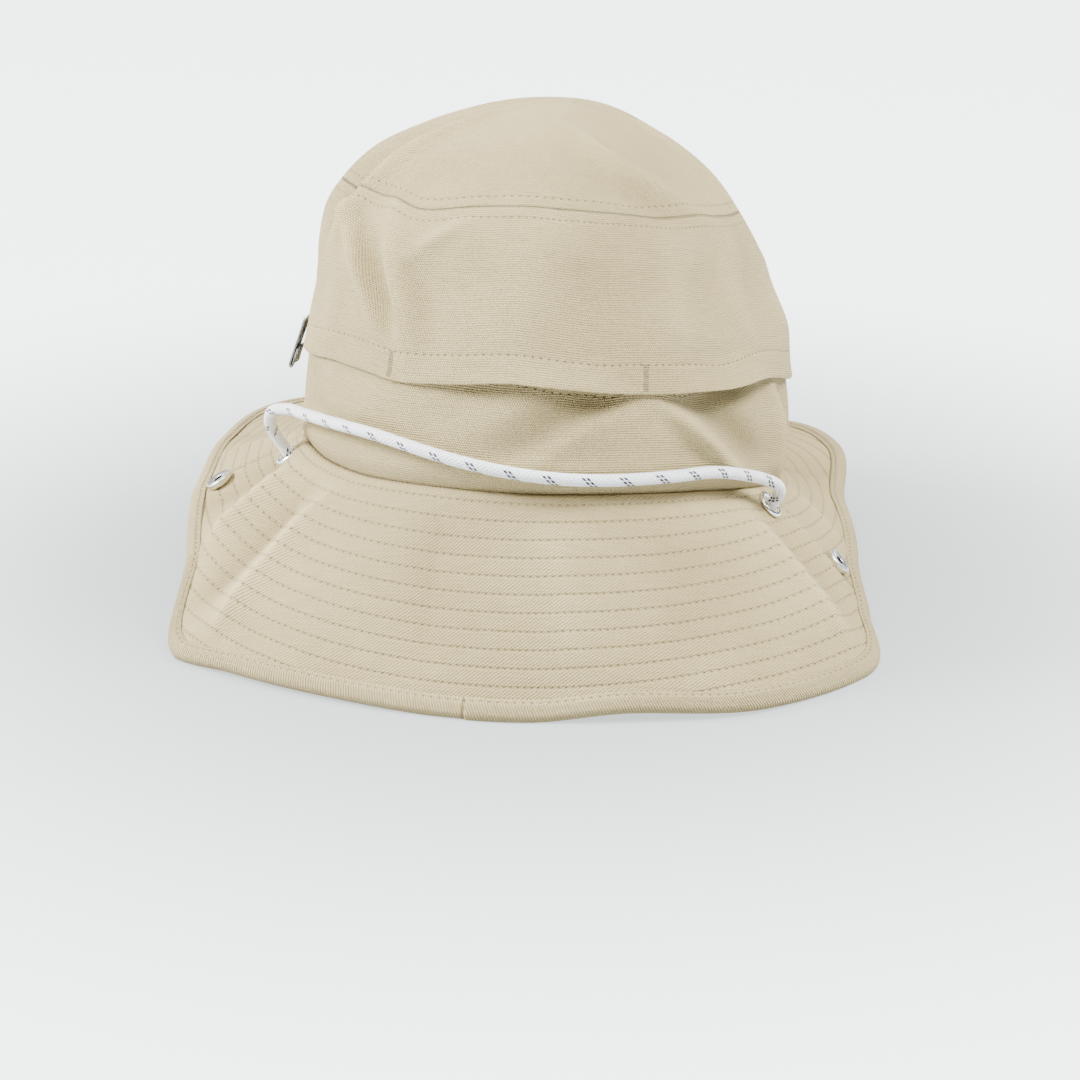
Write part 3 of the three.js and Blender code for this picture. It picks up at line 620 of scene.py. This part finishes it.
def brim_axes(azimuth, share):
    """The brim's way out, its upward normal and its width."""
    reach = brim_at(azimuth, np.ones_like(share)) - brim_at(azimuth, np.zeros_like(share))
    width = np.linalg.norm(reach, axis=-1)
    out = unit(reach)
    round_about = brim_at(azimuth + 0.5, share) - brim_at(azimuth - 0.5, share)
    normal = unit(np.cross(round_about, out))
    return out, normal * np.sign(normal[..., 2:]), width


CREASE_ROWS = np.array([  # azimuth at the seam, azimuth at the rim, half width in mm, height
    (58.5, 58.5, 6.0, 6.6), (41, 43.5, 8.0, 6.6), (50, 51, 8.0, -5.0), (72, 69, 8.0, -4.5),
    (-52, -50, 9.0, 5.6), (-60, -57, 9.0, -2.4), (-70, -63, 6.0, 2.4), (-86, -79, 5.0, 2.2),
    (-30, -28, 18.0, -1.6), (90, 90, 7.0, 1.4), (14, 12, 16.0, -2.4), (-10, -12, 16.0, 2.0),
    (100, 102, 9.0, -1.4), (128, 130, 12.0, 2.2), (-112, -114, 12.0, -2.0),
    (-140, -142, 14.0, 2.0)])


def creases(azimuth, share, width):
    """Pinched ridges from the crown toward the rim: height * exp(-|offset| / half width),
    rounded at the crest, growing from the seam and dying before the rim."""
    start, end, half, height = CREASE_ROWS.T
    azimuth, share, width = (v[..., None] for v in np.broadcast_arrays(azimuth, share, width))
    offset = np.mod(azimuth - start - (end - start) * share + 180, 360) - 180
    offset = np.radians(offset) * (SEAM_RADIUS + share * width)
    ridge = np.exp(-(np.sqrt(offset**2 + 0.8) - 0.9) / half)
    share = share[..., 0]
    return (height * ridge).sum(-1) * ease(0.0, 0.3, share) * (1 - ease(0.62, 0.93, share))


BRIM_AROUND = np.linspace(-180, 180, 721)
column = BRIM_AROUND[:, None]
_, _, width = brim_axes(column, np.full((1, 1), 0.5))
share = np.linspace(0, 1, 44)[None] * (1 - (EDGE_RADIUS + SEAM_GAP) / width)
_, normal, _ = brim_axes(column, share)
middle = brim_at(column, share)
distance = share * width
crest = creases(column, share, width)
middle = middle + normal * crest[..., None]
between_rows = (distance - FIRST_ROW) / ROW_PITCH - 0.5
quilt = 0.07 * np.cos(2 * np.pi * between_rows)[..., None] * normal
outer = middle + normal * BRIM_CLOTH / 2 + quilt
inner = middle - normal * BRIM_CLOTH / 2
tuck = seam_at(column, SEAM_GAP, CLOTH), seam_at(column, SEAM_GAP + BRIM_CLOTH, CLOTH)
outer, inner = np.concatenate([tuck[0], outer], 1), np.concatenate([tuck[1], inner], 1)
distance = np.concatenate([0 * distance[:, :1] - CLOTH, distance], 1)
crest = np.concatenate([crest[:, :1], crest], 1)
sector = run_round(seam_at(column))[:, :1] / CUT_RADIUS
JOIN_LEFT, JOIN_RIGHT = 78.0, -69.0
back = (column > JOIN_RIGHT) & (column < JOIN_LEFT)
sector = sector - sector[np.abs(BRIM_AROUND).argmin()]
front_sector = np.where(column > 0, sector - sector[-1], sector - sector[0]) + 0.3
sector = np.where(back, sector, front_sector)
cut_out = CUT_RADIUS + distance
from_left = np.radians(column - JOIN_LEFT) * (SEAM_RADIUS + distance)
from_right = np.radians(column - JOIN_RIGHT) * (SEAM_RADIUS + distance)
from_join = np.where(np.abs(from_left) < np.abs(from_right), from_left, from_right)
# The brim's creases, half as strong again, go into the folds layout: crests get a painted highlight
# and hollows painted shade.
points, flats = cloth_shell(outer, inner, {
    "grain": np.stack([cut_out * np.sin(sector), -cut_out * np.cos(sector)], -1),
    "rows": np.stack([np.radians(column) + 0 * distance, distance], -1),
    "join": np.stack([from_join, distance], -1),
    "folds": np.stack([crest * 1.5, distance], -1)}, fold_start=False)


def twill_weave(cloth, across, up):
    """Slanting twill ribs every 0.9 mm, and finer ones across them."""
    wander = cloth.noise(across, up, 0.2, 1.0, 5.0)
    slant = (up + across * 0.85 + wander * 0.5).wave(0.84)
    pins = (across - up * 0.9).wave(0.84)
    return slant * 0.34 + pins * 0.2


def quilting(cloth):
    """Twelve rows 6.1 mm apart from the crown out, each as long as its own radius makes it,
    and at each side join a sunk seam with a sewn row beside it."""
    turn, out = cloth.layout("rows")
    rank = ((out - FIRST_ROW) / ROW_PITCH + 0.5).maths("FLOOR")
    along = turn * (rank * ROW_PITCH + (SEAM_RADIUS + FIRST_ROW))
    beside, far = cloth.layout("join")
    sewn, holes_and_shade, sunk = stitches((out - FIRST_ROW).from_nearest(ROW_PITCH), along)
    join, join_holes, join_sunk = stitches(beside - 2.2, far)
    seam = beside.within(0.15, 0.8)
    sunk = sunk * 1.3 + join_sunk * 0.8 + seam
    return sewn + join - seam * 1.2, holes_and_shade * 0.5 + join_holes, sunk


BRIM_DARK, BRIM_LIGHT = (0.275, 0.216, 0.10, 1), (0.515, 0.418, 0.212, 1)
brim = piece_of("brim_cloth", points, flats,
                cotton("brim", BRIM_DARK, BRIM_LIGHT, twill_weave, quilting))
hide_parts("brim")


# --- The binding ------------------------------------------------------------------------
# A bias tape of twill folded over the brim's edge and sewn on near its own edge. Its ends
# lap at the back, where the right end goes over the left.
TAPE_WIDTH, LAP_PLACE = 7.2, 5.0
TAPE_DARK, TAPE_LIGHT = (0.27, 0.212, 0.098, 1), (0.515, 0.42, 0.214, 1)
lap_edges = LAP_PLACE - 0.12, LAP_PLACE + 0.12
TAPE_AROUND = np.unique(np.round(np.r_[BRIM_AROUND, lap_edges], 3))
column = TAPE_AROUND[:, None]
out, normal, _ = brim_axes(column, np.ones((1, 1)))
lap = 0.55 * (ease(-9, -1, TAPE_AROUND) * (TAPE_AROUND < LAP_PLACE))[:, None, None]
middle = rim_at(column) - out * EDGE_RADIUS
bend = np.radians(np.linspace(90, -90, 15))[None, :, None]
back_off = np.linspace(EDGE_RADIUS - TAPE_WIDTH, 0, 9)[None, :-1, None]
swell = 0.18 * np.sin(np.pi * np.linspace(0, 1, 9))[None, :-1, None]
radius = EDGE_RADIUS + lap
taper = 1 - ease(0, 2.6, back_off - back_off[:, :1])
top = middle + out * back_off + normal * (radius + swell - 0.86 * taper)
tip_round = middle + out * radius * np.cos(bend) + normal * radius * np.sin(bend)
under = middle + out * back_off[:, ::-1] - normal * (EDGE_RADIUS + swell)
hollow = EDGE_RADIUS - TAPE_CLOTH
under_in = middle + out * back_off - normal * hollow
bend_in = np.radians([-60, -20, 20, 60])[None, :, None]
round_in = middle + out * hollow * 0.8 * np.cos(bend_in) + normal * hollow * np.sin(bend_in)
top_in = middle + out * back_off[:, ::-1] + normal * (hollow - 0.2 * taper[:, ::-1])
skin = np.concatenate([top, tip_round, under, under_in, round_in, top_in], 1)
skin[..., 2] = np.maximum(skin[..., 2], 0)
outside = np.concatenate([top, tip_round, under], 1)
up = run_up(outside)
up = np.concatenate([up, up[:, -1:] + 0 * skin[:, outside.shape[1]:, 0]], 1)
along = run_round(middle)[:, :1] + 0 * up
flats = {"grain": np.stack([along, up], -1), "rows": np.stack([along, up], -1),
         "lap": np.stack([column + 0 * up, up], -1), "folds": np.stack([0 * up, up], -1)}


def tape_weave(cloth, across, up):
    """Fine ribs that slant across the tape every 0.9 mm."""
    wander = cloth.noise(across, up, 0.3, 1.0, 5.0)
    return (across + up * 0.35 + wander * 0.4).wave(1 / 0.95)


def tape_rows(cloth):
    """A sewn row 1.5 mm in from the tape's edge, and the line where its ends lap, sunk
    and painted dark as the shade along the step there.
    """
    along, over = cloth.layout("rows")
    azimuth, _ = cloth.layout("lap")
    sewn, holes_and_shade, sunk = stitches(over - 1.5, along, half=0.3)
    end = (azimuth - LAP_PLACE - 0.2).within(0.1, 0.25)
    return sewn - end, holes_and_shade + end * 0.9, sunk * 0.7 + end


binding = piece_of("binding_tape", skin[:-1], flats,
                   cotton("binding", TAPE_DARK, TAPE_LIGHT, tape_weave, tape_rows))
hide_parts("brim_binding")


# --- The eyelets and press studs --------------------------------------------------------
# Pressed and plated fittings, turned about the brim's normal: an eyelet is a rolled ring
# for the cord, and a press stud is a ring-shaped cap about 10 mm across.
def turned_on_brim(name, node, azimuth, from_seam, profile, material, sides=64):
    """A profile of (radius, height) turned about the brim's normal and closed on itself."""
    azimuth = np.array([float(azimuth)])
    _, _, width = brim_axes(azimuth, np.array([0.0]))
    share = from_seam / width
    _, normal, _ = brim_axes(azimuth, share)
    place, normal = brim_at(azimuth, share)[0], normal[0]
    place = place + normal * creases(azimuth, share, width)[0]
    first = unit(np.cross(normal, np.array([0, 0, 1.0])))
    second = np.cross(normal, first)
    turn = np.linspace(0, 2 * np.pi, sides + 1)[:, None, None]
    radius, height = np.asarray(profile, float).T[:, None, :, None]
    points = place + radius * (first * np.cos(turn) + second * np.sin(turn)) + normal * height
    flat = np.concatenate(np.broadcast_arrays(radius + 0 * turn, height), -1)
    piece = piece_of(name, points[:-1], {"turned": flat}, material)
    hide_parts(node)
    return piece


def plated(name, colour, roughness, hole=0.0):
    """Bright plating with faint rubbing marks, and near-black colour down in a middle hole if any.
    """
    metal = Finish(name, Metallic=1.0)
    place = metal.add("TexCoord", None, None, out=3)
    marks = metal.add("TexNoise", None, {"Vector": place, "Scale": 1800.0, "Detail": 3.0})
    tint = tuple(c * 0.86 for c in colour[:3]) + (1,)
    plating = metal.blend(marks, tint, colour)
    if hole:
        radius, _ = metal.layout("turned")
        plating = metal.blend(radius.within(hole, 0.15), plating, (0.03, 0.028, 0.025, 1))
    return metal.wear(plating, marks * 0.16 + roughness, marks, 0.00002)


def arc(centre, radius, start, end, count):
    """Points of a profile along part of a circle, from one angle to another."""
    t = np.radians(np.linspace(start, end, count))
    return [(centre[0] + radius * np.cos(a), centre[1] + radius * np.sin(a)) for a in t]


SEAT = BRIM_CLOTH / 2 + 0.15
EYELET_OUT, STUD_OUT = 7.6, 38
EYELET_PROFILE = ([(3.2, -SEAT - 0.8), (4.9, -SEAT - 0.8), (5.05, -SEAT - 0.2), (3.95, -SEAT)]
                  + [(3.95, SEAT), (5.35, SEAT)] + arc((4.28, SEAT + 0.1), 1.07, 0, 180, 14)
                  + [(3.2, SEAT - 0.2)])
STUD_PROFILE = ([(0, -SEAT - 0.8), (4.2, -SEAT - 0.8), (4.5, -SEAT - 0.4), (4.3, -SEAT)]
                + [(1.5, -SEAT), (1.5, SEAT), (4.7, SEAT), (4.95, SEAT + 0.2)]
                + arc((4.35, SEAT + 1.7), 0.6, 0, 90, 6)
                + [(3.2, SEAT + 2.2), (2.2, SEAT + 2.05)] + arc((2.0, SEAT + 1.7), 0.3, 70, 180, 5)
                + [(1.6, SEAT + 0.7), (0, SEAT + 0.5)])
for side, azimuth in (("left", 71), ("right", -65)):
    turned_on_brim("eyelet_ring_" + side, "eyelet_" + side, azimuth, EYELET_OUT, EYELET_PROFILE,
                   plated("eyelet_plating_" + side, (0.92, 0.92, 0.91, 1), 0.16))
for side, azimuth in (("left", 75), ("right", -70)):
    turned_on_brim("stud_cap_" + side, "press_stud_" + side, azimuth, STUD_OUT, STUD_PROFILE,
                   plated("stud_plating_" + side, (0.84, 0.83, 0.80, 1), 0.26, 1.7))


# --- The side label ---------------------------------------------------------------------
# A folded grey tape caught in the flap's stitching on the left side, left bare.
LABEL_WIDTH, LABEL_DROP, LABEL_TAPE, LABEL_AZIMUTH = 20.0, 17.5, 0.7, 84.0


def laid_curve(points, each):
    """A cubic through the points whose slopes weigh the square roots of the gaps beside
    them, with the same count of steps between each two."""
    p = np.vstack([2 * points[0] - points[1], points, 2 * points[-1] - points[-2]])
    p0, p1, p2, p3 = p[:-3, None], p[1:-2, None], p[2:-1, None], p[3:, None]
    g0, g1, g2 = (np.sqrt(np.linalg.norm(b - a, axis=-1, keepdims=True))
                  for a, b in ((p0, p1), (p1, p2), (p2, p3)))
    t1 = ((p1 - p0) / g0 - (p2 - p0) / (g0 + g1) + (p2 - p1) / g1) * g1
    t2 = ((p2 - p1) / g1 - (p3 - p1) / (g1 + g2) + (p3 - p2) / g2) * g1
    u = (np.arange(each) / each)[None, :, None]
    curve = ((2 * u**3 - 3 * u**2 + 1) * p1 + (u**3 - 2 * u**2 + u) * t1
             + (3 * u**2 - 2 * u**3) * p2 + (u**3 - u**2) * t2)
    return np.vstack([curve.reshape(-1, 3), points[-1:]])


def label_tape():
    """The tape's middle line, out and back in two near-straight legs and a round fold, set
    off to both sides by half its thickness, and carried across its width."""
    leg_out = np.array([(0.65, 0), (1.5, -3.5), (2.7, -8), (4.0, -13), (4.7, -15.8)])
    fold = np.array([(4.75, -16.7), (4.3, -17.15), (3.8, -16.8)])
    leg_back = np.array([(3.5, -15.8), (2.9, -13), (2.15, -10.6)])
    line = laid_curve(np.pad(np.vstack([leg_out, fold, leg_back]), ((0, 0), (0, 1))), 5)[:, :2]
    ahead = unit(np.gradient(line, axis=0))
    side = np.stack([-ahead[:, 1], ahead[:, 0]], -1) * LABEL_TAPE / 2
    ring = np.vstack([line + side, (line - side)[::-1]])
    run = np.r_[0, np.cumsum(np.linalg.norm(np.diff(line, axis=0), axis=1))]
    return ring, np.r_[run, run[::-1]]


ring, run = label_tape()
top = seam_share(2, LABEL_AZIMUTH) + OVERLAP * 0.8
face = crown_at(LABEL_AZIMUTH, top, flap_out(LABEL_AZIMUTH, OVERLAP * 0.8) + SEAM_GAP)
angle = np.arctan2(face[1] / HALF_LENGTH**2, face[0] / HALF_WIDTH**2)
out_way = np.array([np.cos(angle), np.sin(angle), 0])
along_way = np.array([-np.sin(angle), np.cos(angle), 0])
across = np.linspace(-0.5, 0.5, 15)[:, None] * LABEL_WIDTH
down = np.minimum(-ring[:, 1] / LABEL_DROP, 1)[None, :, None]
sag = 0.25 * np.cos(across / LABEL_WIDTH * 5)[..., None] * down
points = (face + (ring[None, :, :1] + sag) * out_way + across[..., None] * along_way
          + ring[None, :, 1:] * np.array([0, 0, 1.0]))
flats = {"grain": np.stack(np.broadcast_arrays(across, run[None]), -1)}
woven = Finish("label_tape", Roughness=0.75, Sheen_Weight=0.2)
across_tape, down_tape = woven.layout("grain")
satin = down_tape.wave(1 / 0.55) * 0.6 + across_tape.wave(1 / 0.5) * 0.4
soft = woven.noise(across_tape, down_tape, 0.4)
edge = (across_tape.maths("ABSOLUTE") - 9.2).within(0.1, 0.3)
woven.wear(woven.blend(satin * 0.5 + soft * 0.5, (0.12, 0.125, 0.13, 1), (0.22, 0.23, 0.235, 1)),
           None, satin + edge, 0.00012)
label = piece_of("folded_label", lean(points), flats, woven.material,
                 round_about=False, caps=True)
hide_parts("side_label")


# --- The chin cord ----------------------------------------------------------------------
# A round white braid of about 4 mm with dark flecks woven in, one closed loop through
# both eyelets. It lies round the back of the crown, and loosely on the table under it.
CORD_WIDTH, FLECK_PITCH, FLECK_STEP, FLECK_RANK = 4.2, 12.7, 1.56, 1.36
CORD_ROUTE = np.array([
    (10.4, -50, 4), (17, -50, 3.4), (28, -46.5, 2.1), (36, -38, 2.1), (38, -26, 2.1),
    (30, -13, 2.1), (20, -2, 2.1), (16, 12, 2.1), (25, 23.5, 2.1), (38, 23, 2.1),
    (52, 18, 2.1), (65, 18.5, 2.6), (74, 24.5, 9), (78.2, 29, 21), (80.6, 30.2, 36),
    (83.8, 30.6, 47), (87.1, 31.1, 52.8), (89.8, 31.6, 57.4), (92.6, 34, 64.2),
    (90.6, 39.4, 71), (83.6, 45.6, 74.2), (74.2, 57, 76), (62, 70.2, 77.8),
    (46.2, 84, 79.2), (27, 94.4, 77.4), (13.6, 98.4, 75.4), (-3, 99.6, 72.8),
    (-20, 97.8, 70.8), (-36, 92, 69.2), (-53, 82.6, 68), (-67, 69.4, 65.8), (-75.4, 59.4, 62),
    (-82, 50.5, 57.8), (-86.2, 46.8, 55), (-87.9, 44, 51.8), (-87, 41.6, 48.2),
    (-83.4, 40.4, 43.8), (-78.6, 39.6, 39), (-75, 37.4, 30), (-73, 33, 17), (-68.5, 27.6, 6.6),
    (-60, 21, 2.3), (-48, 15, 2.1), (-35, 15.5, 2.1), (-23, 14, 2.1), (-17, 3, 2.1),
    (-22, -8, 2.1), (-32, -17, 2.1), (-38, -28, 2.1), (-36, -40, 2.1), (-28, -47, 2.1),
    (-17, -50, 3.4), (-10.4, -50, 4)], float)


def braid_finish():
    """White braid: crossing strands as a diamond relief, and stepped pairs of dark flecks
    on two sides, a group at each pitch."""
    cloth = Finish("braid", Roughness=0.62, Sheen_Weight=0.15)
    along, around = cloth.layout("braid")
    strands = (along + around * 1.1).wave(0.62) * (along - around * 1.1).wave(0.62)
    half_turn = np.pi * CORD_WIDTH / 2
    near = along.from_nearest(FLECK_PITCH)
    side = (around + 0.3).from_nearest(half_turn)
    rise = near + side
    pair = (rise + FLECK_STEP / 2).from_nearest(FLECK_STEP)
    rank = side.from_nearest(FLECK_RANK)
    group = rise.within(1.5, 0.1) * side.within(2.0, 0.1)
    flecks = pair.within(0.48, 0.12) * rank.within(0.44, 0.12) * group
    dirt = cloth.noise(along, around, 0.35)
    white = cloth.blend(strands * 0.6 + dirt * 0.4, (0.66, 0.67, 0.70, 1), (0.93, 0.94, 0.96, 1))
    colour = cloth.blend(flecks, white, (0.012, 0.016, 0.035, 1))
    return cloth.wear(colour, None, strands + dirt * 0.3, 0.0003)


cord_path = laid_curve(CORD_ROUTE, 14)
cord_path[:, 2] = np.maximum(cord_path[:, 2], CORD_WIDTH / 2 + 0.05)
cord_run = np.r_[0, np.cumsum(np.linalg.norm(np.diff(cord_path, axis=0), axis=1))]
cord_ahead = unit(np.gradient(cord_path, axis=0))
cord_out = unit(np.cross(cord_ahead, np.array([0.25, 0.12, 1.0])))
cord_over = np.cross(cord_out, cord_ahead)
cord_turn = np.linspace(0, 2 * np.pi, 19)
cord_turn = cord_turn[:-1]
ring = (np.cos(cord_turn)[:, None, None] * cord_out + np.sin(cord_turn)[:, None, None] * cord_over)
cord_skin = (cord_path[None] + ring * CORD_WIDTH / 2).transpose(1, 0, 2)
cord_flat = np.stack(np.broadcast_arrays(cord_run[:, None], cord_turn[None] * CORD_WIDTH / 2), -1)


def tube_of(name, skin, flat, circumference, material):
    """A tube from its rings (stations, sides, 3), with flat ends."""
    wide = np.concatenate([flat, flat[:, :1] + (0, circumference)], axis=1)
    stations, sides = skin.shape[:2]
    vertex = np.arange(stations * sides).reshape(stations, sides)
    a, b = np.meshgrid(np.arange(stations - 1), np.arange(sides), indexing="ij")
    corners = [(a, b), (a + 1, b), (a + 1, b + 1), (a, b + 1)]
    quads = np.stack([vertex[i, j % sides] for i, j in corners], -1).reshape(-1, 4).tolist()
    quads += [vertex[0].tolist(), vertex[-1][::-1].tolist()]
    mesh = bpy.data.meshes.new(name)
    mesh.from_pydata(on_table(skin.reshape(-1, 3)), [], quads)
    loops = np.stack([wide[i, j] for i, j in corners], 2).reshape(-1, 2)
    loops = np.vstack([loops, np.zeros((2 * sides, 2))]).astype(np.float32)
    mesh.uv_layers.new(name="braid").data.foreach_set("uv", loops.ravel())
    return into_piece(name, mesh, material, merge=False)


chin_cord = tube_of("braided_cord", cord_skin, cord_flat, np.pi * CORD_WIDTH, braid_finish())
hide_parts("chin_cord")


# --- The stopper ------------------------------------------------------------------------
# A small moulded block under the hat that both ends of the cord go into. The photograph
# hides it, so it is plain, moulded with rounded edges.
STOPPER_SIZE = np.array([20.0, 13.0, 8.0])
STOPPER_PLACE = np.array([0, -50, 4.0])


def rounded_block(size, place, columns=48, rows=28):
    """A block with round edges: |x|^4 + |y|^4 + |z|^4 = 1, scaled to its size."""
    turn = np.linspace(0, 2 * np.pi, columns, endpoint=False)[:, None]
    rise = np.linspace(-np.pi / 2, np.pi / 2, rows)[None]
    raw = np.stack(np.broadcast_arrays(np.cos(rise) * np.cos(turn), np.cos(rise) * np.sin(turn),
                                       np.sin(rise)), -1)
    raw /= (np.abs(raw) ** 4).sum(-1, keepdims=True) ** 0.25
    return place + raw[..., [2, 0, 1]] * size / 2


moulded = Finish("moulded_stopper", Roughness=0.5)
grain_place = moulded.add("TexCoord", None, None, out=3)
moulded_grain = moulded.add("TexNoise", None, {
    "Vector": grain_place, "Scale": 900.0, "Detail": 2.0})
moulded.wear(moulded.blend(moulded_grain, (0.60, 0.58, 0.52, 1), (0.68, 0.66, 0.60, 1)),
             moulded_grain * 0.2 + 0.4, moulded_grain, 0.00005)
stopper = piece_of("cord_block", rounded_block(STOPPER_SIZE, STOPPER_PLACE), {}, moulded.material)
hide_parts("cord_stopper")


# --- The table and the light ------------------------------------------------------------
# A plain pale table that fills the view. It glows by itself and so also lights the hat
# from below, and its glow is dimmer near the hat: a painted shadow round it. Soft light
# comes from all round, with one large lamp above the left and weaker ones to the sides.
def glowing_table_with_painted_shadow():
    """A flat square 60 m across that glows, paler away from the hat: its dim glow near
    the hat is a painted shadow.
    """
    side = 30.0
    mesh = bpy.data.meshes.new("table")
    mesh.from_pydata([(-side, -side, 0), (side, -side, 0), (side, side, 0), (-side, side, 0)],
                     [], [(0, 1, 2, 3)])
    paint = Finish("glowing_table_with_painted_shadow", Roughness=0.8)
    paint.shader.inputs["Base Color"].default_value = (0.15, 0.155, 0.158, 1)
    paint.shader.inputs["Emission Strength"].default_value = 4.3
    east, north, _ = (Spread(paint, socket) for socket in paint.add("SeparateXYZ", None, {
        0: paint.add("TexCoord", None, None, out=3)}).socket.node.outputs)
    away = (east * east + north * north).maths("SQRT")
    # Painted shadow: the glow is grey within 0.1 m of the hat and eases to near white by 0.44 m.
    paint.plug(paint.shader.inputs["Emission Color"],
               paint.blend(away.above(0.10, 0.34), (0.215, 0.226, 0.23, 1), (0.93, 0.98, 1.0, 1)))
    mesh.materials.append(paint.material)
    table = bpy.data.objects.new("table", mesh)
    bpy.context.scene.collection.objects.link(table)


glowing_table_with_painted_shadow()
sky = bpy.data.worlds.new("soft_sky")
sky.use_nodes = True
sky.node_tree.nodes["Background"].inputs["Color"].default_value = (1.0, 1.0, 1.0, 1)
sky.node_tree.nodes["Background"].inputs["Strength"].default_value = 0.12
bpy.context.scene.world = sky
LAMP_TARGET, LAMP_DISTANCE = np.array([0, 0, 60]), 1500
for name, azimuth, elevation, size, power in (
        ("left_lamp", 98, 32, 0.5, 84), ("right_lamp", 270, 50, 0.6, 60),
        ("back_lamp", 185, 62, 0.8, 34), ("front_lamp", 10, 45, 1.2, 12)):
    lamp = bpy.data.objects.new(name, bpy.data.lights.new(name, "AREA"))
    lamp.data.size, lamp.data.energy = size, power
    aim_at(lamp, LAMP_TARGET + LAMP_DISTANCE * toward(azimuth, elevation), LAMP_TARGET)
